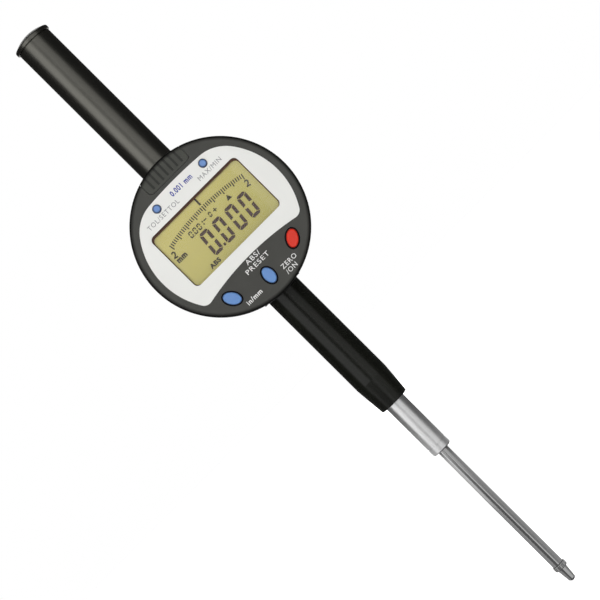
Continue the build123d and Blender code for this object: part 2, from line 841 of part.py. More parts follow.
# Display housing: a round cup open to the back, with the face and all its openings
with BuildPart() as display_housing:
    with BuildSketch(facing(turn_back)):
        Circle(head_r)
    extrude(amount=head_front - turn_back)
    fillet(display_housing.faces().sort_by(Axis.Y)[0].edges(), face_edge)
    with BuildSketch(facing(turn_back)):
        Circle(housing_r)
    extrude(amount=plate_back - turn_back, mode=Mode.SUBTRACT)
    # Posts for the turn plate and the board, and a guide wall on each side of the drawer
    with BuildSketch(facing(turn_front)):
        with Locations(*turn_posts):
            Circle(turn_post_r)
    extrude(amount=plate_back - turn_front)
    with BuildSketch(facing(board_front)):
        with Locations(*board_posts):
            Circle(board_post_r)
    extrude(amount=plate_back - board_front)
    with BuildSketch(facing(turn_front)):
        with Locations(
            (-drawer_guide_x, drawer_bottom + drawer_guide_h / 2),
            (drawer_guide_x, drawer_bottom + drawer_guide_h / 2),
        ):
            Rectangle(drawer_guide_w, drawer_guide_h)
    extrude(amount=plate_back - turn_front)
    # Label recess, window opening and its seat
    with BuildSketch(facing(head_front)):
        add(label_outline(-label_fit))
    extrude(amount=-label_thick, mode=Mode.SUBTRACT)
    with BuildSketch(facing(plate_back)):
        with Locations((0, lcd_z)):
            RectangleRounded(lcd_w, lcd_h, lcd_corner)
    extrude(amount=face_thick, mode=Mode.SUBTRACT)
    with BuildSketch(facing(plate_back)):
        with Locations((0, lcd_z)):
            RectangleRounded(
                lcd_w + 2 * (window_lap + window_fit),
                lcd_h + 2 * (window_lap + window_fit),
                window_corner + window_fit,
            )
    extrude(amount=window_front - plate_back, mode=Mode.SUBTRACT)
    # Button holes
    with BuildSketch(facing(plate_back)):
        for x, z, b, a, tilt in ovals.values():
            with Locations((x, z)):
                Ellipse(b + oval_hole_gap, a + oval_hole_gap, rotation=tilt)
        for x, z in rounds.values():
            with Locations((x, z)):
                Circle(round_r + round_hole_gap)
    extrude(amount=face_thick, mode=Mode.SUBTRACT)
    # Opening for the drawer's grip, and the thinner face over its tray
    with BuildSketch(facing(turn_front)) as grip_opening:
        with Locations((0, drawer_bottom - drawer_gap + head_r / 2)):
            Rectangle(drawer_w + 2 * drawer_gap, head_r)
        fillet(grip_opening.vertices().group_by(Axis.Y)[0], drawer_corner)
    extrude(amount=head_front - turn_front, mode=Mode.SUBTRACT)
    with BuildSketch(facing(plate_back)):
        with Locations((0, (tray_bottom + drawer_bottom) / 2)):
            Rectangle(2 * (tray_half + tray_clear), drawer_bottom - tray_bottom + 2 * tray_clear)
    extrude(amount=cell_front + part_gap - plate_back, mode=Mode.SUBTRACT)
    # Pocket for the data port in the rim
    with BuildSketch(Plane.YZ.offset(head_r - rim_wall - port_pocket)):
        with Locations((-(port_low + port_high) / 2, head_z)):
            Rectangle(port_depth_y + 2 * port_gap, 2 * (port_half_z + port_gap))
    extrude(amount=rim_wall + 2 * port_pocket, mode=Mode.SUBTRACT)
    # Screw holes in the posts
    with BuildSketch(facing(turn_front)):
        with Locations(*turn_posts):
            Circle(screw_core_r)
    extrude(amount=turn_screw_bite + screw_spare, mode=Mode.SUBTRACT)
    with BuildSketch(facing(board_front)):
        with Locations(*board_posts):
            Circle(small_core_r)
    extrude(amount=board_screw_bite + screw_spare, mode=Mode.SUBTRACT)
save(display_housing.part, "display_housing")

# Rear plate of the display, turning on the body's boss
with BuildPart() as turn_plate:
    with BuildSketch(facing(turn_back)):
        Circle(housing_r - part_gap)
        Circle(boss_r + turn_fit, mode=Mode.SUBTRACT)
        with Locations(*turn_posts):
            Circle(screw_core_r, mode=Mode.SUBTRACT)
        with Locations((0, stop_track_r)):
            Circle(stop_pin_r, mode=Mode.SUBTRACT)
    extrude(amount=turn_plate_thick)
    with BuildSketch(facing(turn_back)):
        with Locations(*turn_posts):
            Circle(screw_head_r)
    extrude(amount=screw_head, mode=Mode.SUBTRACT)
save(turn_plate.part, "turn_plate")

with BuildPart() as plate_screws:
    with BuildSketch(facing(turn_back)):
        with Locations(*turn_posts):
            Circle(screw_head_r - screw_head_fit)
    extrude(amount=screw_head)
    with BuildSketch(facing(turn_back + screw_head)):
        with Locations(*turn_posts):
            Circle(screw_core_r - screw_fit)
    extrude(amount=turn_plate_thick - screw_head + turn_screw_bite)
save(plate_screws.part, "plate_screws")

with BuildPart() as stop_pin:
    with BuildSketch(facing(body_front - stop_track_depth + stop_track_gap)):
        with Locations((0, stop_track_r)):
            Circle(stop_pin_r)
    extrude(amount=turn_front - body_front + stop_track_depth - stop_track_gap)
save(stop_pin.part, "stop_pin")

# White label in the face's recess, cut out for the window and the round buttons
with BuildPart() as face_label:
    with BuildSketch(facing(head_front - label_thick)):
        add(label_outline(0))
        with Locations((0, lcd_z)):
            RectangleRounded(lcd_w, lcd_h, lcd_corner, mode=Mode.SUBTRACT)
        for x, z in rounds.values():
            with Locations((x, z)):
                Circle(round_r + round_hole_gap, mode=Mode.SUBTRACT)
    extrude(amount=label_thick)
save(face_label.part, "face_label")

with BuildPart() as lcd_window:
    with BuildSketch(facing(window_back)):
        with Locations((0, lcd_z)):
            RectangleRounded(lcd_w + 2 * window_lap, lcd_h + 2 * window_lap, window_corner)
    extrude(amount=window_thick)
save(lcd_window.part, "lcd_window")

with BuildPart() as lcd_panel:
    with BuildSketch(facing(lcd_back)):
        with Locations((0, lcd_z)):
            Rectangle(lcd_w + 2 * (window_lap - panel_inset), lcd_h + 2 * (window_lap - panel_inset))
    extrude(amount=lcd_thick)
save(lcd_panel.part, "lcd_panel")

# Frame round the display glass, standing on the board
strip_z = frame_in_h / 2 - strip_inset
with BuildPart() as lcd_frame:
    with BuildSketch(facing(board_front)):
        with Locations((0, lcd_z)):
            RectangleRounded(frame_in_w + 2 * frame_wall, frame_in_h + 2 * frame_wall, frame_corner)
            Rectangle(frame_in_w, frame_in_h, mode=Mode.SUBTRACT)
    extrude(amount=plate_back - board_front)
    with BuildSketch(facing(board_front)):
        with Locations((0, lcd_z)):
            Rectangle(frame_in_w, frame_in_h)
            Rectangle(frame_in_w - 2 * frame_ledge_w, frame_in_h - 2 * frame_ledge_h, mode=Mode.SUBTRACT)
            for side in (-1, 1):
                with Locations((0, side * strip_z)):
                    Rectangle(
                        frame_in_w - 2 * (strip_end - strip_fit),
                        strip_width + 2 * strip_fit,
                        mode=Mode.SUBTRACT,
                    )
    extrude(amount=zebra_height - frame_fit)
save(lcd_frame.part, "lcd_frame")

with BuildPart() as zebra_strips:
    with BuildSketch(facing(board_front)):
        for side in (-1, 1):
            with Locations((0, lcd_z + side * strip_z)):
                Rectangle(frame_in_w - 2 * strip_end, strip_width)
    extrude(amount=zebra_height)
save(zebra_strips.part, "zebra_strips")

# Display board, cut away for the tray, the grip and the posts
with BuildPart() as display_board:
    with BuildSketch(facing(board_back)):
        Circle(housing_r - board_inset)
        with Locations((0, board_notch + head_r / 2)):
            Rectangle(2 * (tray_half + tray_clear), head_r, mode=Mode.SUBTRACT)
        with Locations((0, drawer_bottom - board_clear + head_r / 2)):
            Rectangle(2 * (drawer_guide_x + drawer_guide_w / 2 + board_clear), head_r, mode=Mode.SUBTRACT)
        with Locations(*turn_posts):
            Circle(turn_post_r + board_clear, mode=Mode.SUBTRACT)
        with Locations(*board_posts):
            Circle(small_core_r, mode=Mode.SUBTRACT)
    extrude(amount=board_thick)
save(display_board.part, "display_board")


save(pan_screws(board_posts, board_back, board_thick + board_screw_bite, 1), "board_screws")

# Round drop of resin over the bonded chip, behind the glass
with BuildPart() as controller_chip:
    with BuildSketch(facing(board_front)):
        with Locations((0, lcd_z)):
            RectangleRounded(resin_w, resin_h, resin_corner)
    extrude(amount=zebra_height - resin_low)
save(controller_chip.part, "controller_chip")


# Silicone mat under the oval buttons, with a dome for each
oval_points = [(x, z) for x, z, b, a, tilt in ovals.values()]
mat_r = housing_r - mat_inset
mat_top = frame_bottom - mat_gap
with BuildPart() as keypad_mat:
    with BuildSketch(facing(board_front)):
        Circle(mat_r)
        with Locations((0, mat_top + head_r)):
            Rectangle(2 * head_r, 2 * head_r, mode=Mode.SUBTRACT)
        with Locations(*turn_posts):
            Circle(turn_post_r + mat_gap, mode=Mode.SUBTRACT)
        with Locations(*board_posts):
            Circle(board_post_r + mat_gap, mode=Mode.SUBTRACT)
    extrude(amount=pad_thick)
    for x, z in oval_points:
        with BuildSketch(facing(board_front + pad_thick)):
            with Locations((x, z)):
                Circle(dome_foot_r)
        extrude(amount=dome_top - board_front - pad_thick, taper=dome_taper)
save(keypad_mat.part, "keypad_mat")

with BuildPart() as upper_pads:
    with BuildSketch(facing(board_front)):
        with Locations(*rounds.values()):
            Circle(dome_foot_r + pad_edge)
    extrude(amount=pad_thick)
    with BuildSketch(facing(board_front + pad_thick)):
        with Locations(*rounds.values()):
            Circle(dome_foot_r)
    extrude(amount=dome_top - board_front - pad_thick, taper=dome_taper)
save(upper_pads.part, "upper_pads")

# Leaf contacts: one behind the cell, standing on the board's edge, and one beside the tray
leaf_foot = (ring_r + board_notch) / 2
leaf_top = cell_z + leaf_reach
with BuildPart() as battery_contacts:
    with BuildSketch(facing(turn_front + part_gap)):
        with Locations((0, (leaf_foot + leaf_top) / 2)):
            Rectangle(leaf_width, leaf_top - leaf_foot)
    extrude(amount=leaf_thick)
    with BuildSketch(facing(turn_front + part_gap)):
        with Locations((0, leaf_foot)):
            Rectangle(leaf_width, leaf_thick)
    extrude(amount=board_back - turn_front - part_gap)
    with BuildSketch(facing(board_front)):
        with Locations((-tray_half - leaf_gap - leaf_thick / 2, round_z)):
            Rectangle(leaf_thick, leaf_width)
    extrude(amount=plate_back - board_front - leaf_short)
save(battery_contacts.part, "battery_contacts")

# Contact block of the data port, on the board's edge
with BuildPart() as data_connector:
    with BuildSketch(Plane.YZ.offset(port_face - port_plug - connector_gap)):
        with Locations((-(board_front + port_high) / 2, head_z)):
            Rectangle(port_high - board_front, 2 * (port_half_z - connector_gap))
    extrude(amount=-connector_len)
    chamfer(data_connector.edges().filter_by(Axis.Y), connector_edge)
save(data_connector.part, "data_connector")


def button(top_outline, flange_outline, name):
    """One button: a stem with a rounded top, through its hole, and a flange behind the face."""
    with BuildPart() as made:
        with BuildSketch(facing(button_back + button_flange_thick)):
            add(top_outline)
        extrude(amount=head_front + button_rise - button_back - button_flange_thick)
        fillet(made.faces().sort_by(Axis.Y)[0].edges(), button_dome)
        with BuildSketch(facing(button_back)):
            add(flange_outline)
        extrude(amount=button_flange_thick)
    save(made.part, name)


for name, (x, z, b, a, tilt) in ovals.items():
    top_oval = Pos(x, z) * Rot(0, 0, tilt + 90) * Ellipse(a, b)
    flange_oval = Pos(x, z) * Rot(0, 0, tilt + 90) * Ellipse(a + button_flange, b + button_flange)
    button(top_oval, flange_oval, name)
for name, (x, z) in rounds.items():
    button(Pos(x, z) * Circle(round_r), Pos(x, z) * Circle(round_r + button_flange), name)

# Battery drawer: ribbed grip flush with the face and rim, and a narrower tray round the cell
with BuildPart() as battery_drawer:
    with BuildSketch(facing(cell_back)) as grip:
        with Locations((0, drawer_bottom + head_r / 2)):
            Rectangle(drawer_w, head_r)
        fillet(grip.vertices().group_by(Axis.Y)[0], drawer_corner)
        Circle(head_r, mode=Mode.INTERSECT)
    extrude(amount=head_front - cell_back)
    outer = battery_drawer.faces().sort_by(Axis.Y)[0].edges().filter_by(GeomType.CIRCLE)
    fillet(outer.filter_by(lambda e: e.radius > 2 * drawer_corner), face_edge)
    with BuildSketch(facing(cell_back)):
        with Locations((0, (tray_bottom + tray_top) / 2)):
            Rectangle(2 * tray_half, tray_top - tray_bottom)
    extrude(amount=cell_front - cell_back)
    with BuildSketch(facing(cell_back)):
        with Locations((0, cell_z)):
            Circle(cell_r + cell_play)
    extrude(amount=cell_thick, mode=Mode.SUBTRACT)
    # Grooves between the grip's ribs
    with BuildSketch(facing(head_front)):
        with Locations((0, drawer_bottom + rib_groove_bottom + head_r / 2)):
            with GridLocations(rib_pitch, 0, rib_grooves, 1):
                Rectangle(rib_groove_w, head_r)
    extrude(amount=-rib_groove_depth, mode=Mode.SUBTRACT)
save(battery_drawer.part, "battery_drawer")

with BuildPart() as coin_cell:
    with BuildSketch(facing(cell_back)):
        with Locations((0, cell_z)):
            Circle(cell_r)
    extrude(amount=cell_thick)
    chamfer(coin_cell.edges().filter_by(GeomType.CIRCLE), cell_edge)
save(coin_cell.part, "coin_cell")

# Flat cover of the data port, flush with the rim
with BuildPart() as data_port_cover:
    with BuildSketch(Plane.YZ.offset(port_face - port_plug)):
        with Locations((-port_mid, head_z)):
            RectangleRounded(port_depth_y, 2 * port_half_z, port_corner)
    extrude(amount=port_plug)
    chamfer(data_port_cover.faces().sort_by(Axis.X)[-1].edges(), port_edge)
save(data_port_cover.part, "data_port_cover")
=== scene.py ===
"""Digital indicator: finishes, legends, display figures and studio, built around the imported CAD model."""

import math

import bmesh
import bpy
from bpy.props import FloatProperty, FloatVectorProperty, IntProperty, PointerProperty, StringProperty
from bpy.types import Operator, Panel, PropertyGroup
from mathutils import Matrix, Vector


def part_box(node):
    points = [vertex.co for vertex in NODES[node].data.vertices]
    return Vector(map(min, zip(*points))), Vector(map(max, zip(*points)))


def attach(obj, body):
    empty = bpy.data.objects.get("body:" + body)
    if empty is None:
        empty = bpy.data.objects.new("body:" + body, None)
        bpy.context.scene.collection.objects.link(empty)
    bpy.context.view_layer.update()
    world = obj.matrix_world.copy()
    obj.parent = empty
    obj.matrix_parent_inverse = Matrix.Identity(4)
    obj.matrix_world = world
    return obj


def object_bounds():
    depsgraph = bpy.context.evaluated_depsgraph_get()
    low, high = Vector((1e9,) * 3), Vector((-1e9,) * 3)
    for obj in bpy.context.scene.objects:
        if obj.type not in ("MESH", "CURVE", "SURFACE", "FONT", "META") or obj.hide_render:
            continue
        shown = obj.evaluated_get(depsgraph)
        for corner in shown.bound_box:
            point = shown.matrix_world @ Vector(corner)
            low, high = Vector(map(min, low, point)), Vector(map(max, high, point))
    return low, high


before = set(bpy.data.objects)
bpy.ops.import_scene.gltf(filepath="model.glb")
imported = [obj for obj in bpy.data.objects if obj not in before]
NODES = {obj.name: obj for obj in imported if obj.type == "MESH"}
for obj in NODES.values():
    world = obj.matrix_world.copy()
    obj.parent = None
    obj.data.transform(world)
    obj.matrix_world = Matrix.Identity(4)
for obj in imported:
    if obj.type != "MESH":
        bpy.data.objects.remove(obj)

bl_info = {
    "name": "Digital indicator",
    "version": (1, 0, 0),
    "blender": (4, 5, 0),
    "location": "3D View > Sidebar > Indicator",
    "description": "Finishes, legends and display figures of a long-travel digital indicator",
    "category": "Object",
}

CAD_LOW, CAD_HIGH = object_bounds()

# Places that the legends and figures take from the CAD model, in metres
HEAD_Z = sum(c.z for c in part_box("turn_plate")) / 2
FACE_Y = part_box("face_label")[0].y
GLASS_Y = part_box("lcd_panel")[0].y
MM = 0.001
# Where the painted shade on the head's round edge begins and is full, from the head's centre
EDGE_SHADE_START, EDGE_SHADE_END = 29.6 * MM, 30.7 * MM

# Sockets of a Mix node for its two colours and for the result
MIX_FIRST, MIX_SECOND, MIX_RESULT = 6, 7, 2
# The shader's sockets that a pattern can change over a range
SPANS = {"rough": "Roughness", "shine": "Specular IOR Level", "glow": "Emission Strength"}
# Scale of a wave texture whose light and dark stripes are each one unit wide
UNIT_STRIPES = math.pi / 20


def linear(hex_colour):
    """An sRGB hex colour as linear red, green and blue."""
    values = [int(hex_colour[i : i + 2], 16) / 255 for i in (1, 3, 5)]
    return tuple(v / 12.92 if v <= 0.04045 else ((v + 0.055) / 1.055) ** 2.4 for v in values)


def colour(name, description, hex_colour):
    """A colour property with its default."""
    return FloatVectorProperty(
        name=name, description=description, subtype="COLOR", size=3, min=0, max=1, default=linear(hex_colour)
    )


def length(name, description, mm):
    """A length property, with its default in millimetres."""
    return FloatProperty(name=name, description=description, unit="LENGTH", precision=5, default=mm * MM)


def angle(name, description, degrees):
    """An angle property, with its default in degrees."""
    return FloatProperty(
        name=name, description=description, unit="ROTATION", subtype="ANGLE", default=math.radians(degrees)
    )


def amount(name, description, default):
    """A plain number that isn't negative, such as a lamp's watts or a card's brightness."""
    return FloatProperty(name=name, description=description, min=0, default=default)


class IndicatorColours(PropertyGroup):
    """Colours of the indicator's finishes."""

    housing: colour("Housing", "Moulded head", "#383834")
    drawer: colour("Drawer", "Moulded battery drawer", "#32332e")
    body: colour("Body", "Painted rear body", "#2a2a27")
    tube: colour("Tube", "Anodised upper tube", "#6e6d67")
    sleeve: colour("Sleeve", "Lacquered lower sleeve", "#11120e")
    label: colour("Label", "Printed film round the display", "#e5e5e1")
    glass_high: colour("Display, upper left", "Reflective display at its greener side", "#c6bc70")
    glass_low: colour("Display, lower right", "Reflective display at its yellower side", "#b3ab5e")
    figure: colour("Large figures", "Dark segments of the display", "#3a2620")
    tick: colour("Fine figures", "Scale and small words of the display", "#2c2412")
    key_blue: colour("Blue keys", "Oval keys", "#628bc4")
    key_deep: colour("Small keys", "Round keys", "#6a8cc4")
    key_red: colour("Red key", "Zero key", "#d2280c")
    # Colour of the painted shadow inside the window's opening
    window_shadow: colour("Border", "Dark line round the window", "#4a2c1a")
    white_ink: colour("White ink", "Legends on the housing", "#e8e8e6")
    grey_ink: colour("Grey ink", "Legends on the label", "#8d8c8c")
    blue_ink: colour("Blue ink", "Resolution on the label", "#2b3a94")


class IndicatorPrint(PropertyGroup):
    """Sizes of the printed legends, the display's figures, the painted shadow inside the window's opening and
    the painted shade round the oval keys.
    """

    ink: length("Ink", "Thickness of the printed ink", 0.02)
    segment_lift: length("Segment lift", "How far the figures lie in front of the display glass", 0.02)
    digit_height: length("Digit height", "Height of a large digit", 9.35)
    digit_width: length("Digit width", "Width of a large digit", 4.05)
    digit_stroke: length("Digit stroke", "Width of a large digit's segment", 1.18)
    slant: angle("Slant", "Lean of the digits", 4.5)
    scale_radius: length("Scale radius", "Radius of the arched scale", 84.0)
    scale_pitch: length("Scale pitch", "Distance between long ticks", 4.39)
    scale_parts: IntProperty(name="Scale parts", description="Long divisions of the scale", default=8, min=2)
    tick_parts: IntProperty(name="Tick parts", description="Short divisions in a long one", default=5, min=1)
    tick_width: length("Tick width", "Width of a tick", 0.42)
    tick_long: length("Long tick", "Length of a long tick", 2.2)
    tick_short: length("Short tick", "Length of a short tick", 1.5)
    resolution: StringProperty(name="Resolution", description="Printed on the label", default="0.001 mm")
    key_tilt: angle("Key tilt", "Lean of the outer oval keys", 38.0)
    key_flange: length("Key flange", "How far a key's flange reaches past the key", 0.75)
    # Key play, key gap and lip depth size a near-black ring of painted shade in the gap round each oval key
    key_play: length("Key play", "Distance between an oval key and the rubber lip round it", 0.05)
    key_gap: length("Key gap", "Width of the gap round an oval key, with its rubber lip", 0.5)
    gap_shade_depth: length("Lip depth", "How far the rubber lip reaches into the gap", 0.3)
    window_lap: length("Window lap", "How far the window reaches behind the edge of its opening", 0.75)
    window_corner: length("Window corner", "Corner radius of the window's opening", 1.9)
    rib_groove: length("Groove", "Depth of the grooves between the drawer's ribs", 0.35)
    # Widths of a dark brown ring of painted shadow inside the window's opening, widest along the top where
    # the opening's edge casts its shadow
    shadow_top: length("Border, top", "Width of the dark line along the window's top", 0.92)
    shadow_side: length("Border, sides", "Width of the dark line along the window's sides", 0.33)
    shadow_low: length("Border, bottom", "Width of the dark line along the window's bottom", 0.05)


class IndicatorKnurl(PropertyGroup):
    """Sizes of the knurl on the contact point's collar."""

    teeth: IntProperty(name="Teeth", description="Teeth round the collar", default=28, min=8)
    height: length("Height", "How far a tooth stands out of the collar", 0.07)
    root: length("Root", "How deep a tooth's foot lies in the collar", 0.03)
    collar: length("Collar", "Length of the collar, under the spindle's end", 2.1)
    margin: length("Margin", "Plain part of the collar at each end", 0.25)
    bevel: length("Bevel", "Length of a tooth's sloping end", 0.2)


class IndicatorStudio(PropertyGroup):
    """Camera and light."""

    distance: length("Distance", "From the camera to the spindle's plane", 700.0)
    aim_x: length("Aim along X", "Where the camera aims", 1.8)
    aim_z: length("Aim along Z", "Where the camera aims, above the stem's middle", 60.6)
    half_view: length("Half view", "Half of the width seen on the spindle's plane", 105.48)
    turn: angle("Turn", "Camera's turn round the spindle", 1.3)
    roll: angle("Roll", "Camera's roll", 45.15)
    key_power: amount("Key light", "Watts of the upper left lamp", 6.8)
    front_power: amount("Front light", "Watts of the lamp over the camera", 6.0)
    back_power: amount("Back light", "Watts of the lamp behind the object", 14.0)
    side_power: amount("Side light", "Watts of the lamp at each side", 6.0)
    surround: amount("Surround", "Strength of the room's even light", 0.1)
    felt: amount("Felt", "Brightness of the dark cards in gloss", 0.05)
    left_sheet: amount("Left sheet", "Brightness that gloss mirrors at the left", 1.25)
    right_sheet: amount("Right sheet", "Brightness that gloss mirrors at the right", 0.66)
    grey_sheet: amount("Grey sheet", "Brightness that the spindle mirrors at the right", 0.5)
    stem_sheet: amount("Stem sheet", "How much more the stem mirrors at both sides", 1.4)
    low_sheet: amount("Low sheet", "Brightness that the spindle's end mirrors", 0.33)
    line_sheet: amount("Line", "Brightness of the dark line on the spindle", 0.17)


def add_node(tree, kind, settings=None, sockets=None, links=None, stops=None):
    """Add one shader node, with its settings, its sockets' values, the links into it and its colour stops."""
    made = tree.nodes.new("ShaderNode" + kind)
    for key, value in (settings or {}).items():
        setattr(made, key, value)
    for key, value in (sockets or {}).items():
        made.inputs[key].default_value = value
    for key, source in (links or {}).items():
        tree.links.new(source, made.inputs[key])
    for i, (place, values) in enumerate(stops or ()):
        made.color_ramp.elements[i].position = place
        made.color_ramp.elements[i].color = rgba(values)
    return made


def rgba(values):
    """Three colour values with full opacity."""
    return (*values, 1.0)


def per_mm(size):
    """Scale of a pattern whose features are this many millimetres apart, on coordinates in metres."""
    return 1.0 / (size * MM)


def shades(base, *factors):
    """The colour made lighter or darker by each factor."""
    return [tuple(min(1.0, v * factor) for v in base) for factor in factors]


def new_material(name, sockets):
    """Material with one Principled shader, whose constants are on its sockets, with its tree and shader."""
    made = bpy.data.materials.new(name)
    made.use_nodes = True
    tree = made.node_tree
    tree.nodes.clear()
    shader = add_node(tree, "BsdfPrincipled", sockets=sockets)
    add_node(tree, "OutputMaterial", links={"Surface": shader.outputs["BSDF"]})
    return made, tree, shader


def speckle(tree, size, stretch=(1, 1, 1), detail=3.0):
    """Grain of a real size in millimetres in the object's own coordinates, stretched along the axes."""
    place = add_node(tree, "TexCoord").outputs["Object"]
    squeeze = add_node(tree, "Mapping", sockets={"Scale": stretch}, links={"Vector": place})
    return add_node(
        tree, "TexNoise", sockets={"Scale": per_mm(size), "Detail": detail, "Roughness": 0.6},
        links={"Vector": squeeze.outputs["Vector"]},
    ).outputs["Fac"]


def work_in(tree, shader, pattern, colours=None, stops=(0.3, 0.7), relief=None, **spans):
    """Let a pattern change a finish: its colour between two stops, its relief by a real depth in millimetres
    and a strength, and its roughness, shine or glow over a range. A second pattern's colours multiply the
    first one's, as a stain does."""
    if colours:
        base = shader.inputs["Base Color"]
        layer = add_node(tree, "ValToRGB", links={"Fac": pattern}, stops=zip(stops, colours)).outputs["Color"]
        for under in base.links:
            layer = add_node(
                tree, "Mix", {"data_type": "RGBA", "blend_type": "MULTIPLY"}, {"Factor": 1.0},
                {MIX_FIRST: under.from_socket, MIX_SECOND: layer},
            ).outputs[MIX_RESULT]
        tree.links.new(layer, base)
    for key, (low, high) in spans.items():
        span = add_node(tree, "MapRange", sockets={"To Min": low, "To Max": high}, links={"Value": pattern})
        tree.links.new(span.outputs["Result"], shader.inputs[SPANS[key]])
    if relief:
        sockets = {"Distance": relief[0] * MM, "Strength": relief[1]}
        bump = add_node(tree, "Bump", sockets=sockets, links={"Height": pattern})
        tree.links.new(bump.outputs["Normal"], shader.inputs["Normal"])


def finish_nodes(material, *names):
    """Give CAD nodes a material in every slot."""
    for name in names:
        piece = NODES[name]
        if not piece.material_slots:
            piece.data.materials.append(material)
        for slot in piece.material_slots:
            slot.material = material


def new_object(name, data):
    """An object with this mesh, curve, lamp or camera, in the scene."""
    made = bpy.data.objects.new(name, data)
    bpy.context.scene.collection.objects.link(made)
    return made


def place_piece(name, shape, material, body):
    """Turn a finished bmesh into a piece that rides on a body."""
    bmesh.ops.recalc_face_normals(shape, faces=shape.faces)
    mesh = bpy.data.meshes.new(name)
    shape.to_mesh(mesh)
    shape.free()
    mesh.materials.append(material)
    piece = new_object(name, mesh)
    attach(piece, body)
    return piece


def face_point(x, z, depth):
    """Point on the head from millimetres right of and above its centre, and a depth along Y in metres."""
    return Vector((x * MM, depth, HEAD_Z + z * MM))


def add_flat(shape, corners, back, front):
    """Prism between two depths from a closed outline of (x, z) in millimetres from the head's centre."""
    near = [shape.verts.new(face_point(x, z, front)) for x, z in corners]
    far = [shape.verts.new(face_point(x, z, back)) for x, z in corners]
    shape.faces.new(near)
    shape.faces.new(far[::-1])
    for i in range(len(corners)):
        shape.faces.new((near[i - 1], far[i - 1], far[i], near[i]))


def add_ring(shape, loops):
    """Closed ring from loops of points, each joined to the next one and the last to the first."""
    rows = [[shape.verts.new(point) for point in loop] for loop in loops]
    for row, after in zip(rows, rows[1:] + rows[:1]):
        for i in range(len(row)):
            shape.faces.new((row[i - 1], row[i], after[i], after[i - 1]))


def block(left, right, bottom, top):
    """Corners of a plain rectangle."""
    return [(left, top), (right, top), (right, bottom), (left, bottom)]


def rounded(left, right, bottom, top, radius, steps=8):
    """Corners of a rounded rectangle, anticlockwise from the lower right."""
    points = []
    for x, z, start in (
        (right - radius, bottom + radius, -90), (right - radius, top - radius, 0),
        (left + radius, top - radius, 90), (left + radius, bottom + radius, 180),
    ):
        for step in range(steps + 1):
            turn = math.radians(start + 90 * step / steps)
            points.append((x + radius * math.cos(turn), z + radius * math.sin(turn)))
    return points


def oval_of(node, tilt, flange):
    """Centre and half axes of a leaning oval key, worked out from the box of the flange behind it."""
    low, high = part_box(node)
    half = (high - low) / 2
    total = half.x**2 + half.z**2
    differ = (half.z**2 - half.x**2) / math.cos(2 * tilt)
    wide = math.sqrt((total - differ) / 2) - flange
    tall = math.sqrt((total + differ) / 2) - flange
    return (low + high) / 2, wide, tall


def oval_loop(centre, wide, tall, tilt, depth, steps=48):
    """Points round a leaning oval at one depth."""
    points = []
    for i in range(steps):
        turn = 2 * math.pi * i / steps
        x = wide * math.cos(turn)
        z = tall * math.sin(turn)
        across = x * math.cos(tilt) + z * math.sin(tilt)
        upward = z * math.cos(tilt) - x * math.sin(tilt)
        points.append((centre.x + across, depth, centre.z + upward))
    return points


def lettering(name, rows, material, body, depth, ink):
    """Words as thin flat meshes. A row has the words, their centre's x and z, their width and cap height in
    millimetres, how much bolder they are, and their tilt in degrees."""
    joined = bmesh.new()
    for words, x, z, width, cap, weight, tilt in rows:
        curve = bpy.data.curves.new("letters", "FONT")
        curve.body = words
        curve.size = 1.0
        curve.offset = weight
        curve.space_character = 1.15
        curve.extrude = 0.5
        curve.resolution_u = 3
        holder = new_object("letters", curve)
        bpy.context.view_layer.update()
        outline = bpy.data.meshes.new_from_object(holder.evaluated_get(bpy.context.evaluated_depsgraph_get()))
        bpy.data.objects.remove(holder)
        bpy.data.curves.remove(curve)
        xs = [v.co.x for v in outline.vertices]
        ys = [v.co.y for v in outline.vertices]
        middle = Vector(((min(xs) + max(xs)) / 2, (min(ys) + max(ys)) / 2, 0))
        across = width / (max(xs) - min(xs))
        upward = cap / (max(ys) - min(ys))
        lean = Matrix.Rotation(math.radians(tilt), 3, "Z")
        for vertex in outline.vertices:
            flat = vertex.co - middle
            flat = lean @ Vector((flat.x * across, flat.y * upward, flat.z))
            vertex.co = face_point(x + flat.x, z + flat.y, depth - ink * (flat.z + 0.5))
        joined.from_mesh(outline)
        bpy.data.meshes.remove(outline)
    bmesh.ops.remove_doubles(joined, verts=joined.verts, dist=1e-7)
    return place_piece(name, joined, material, body)


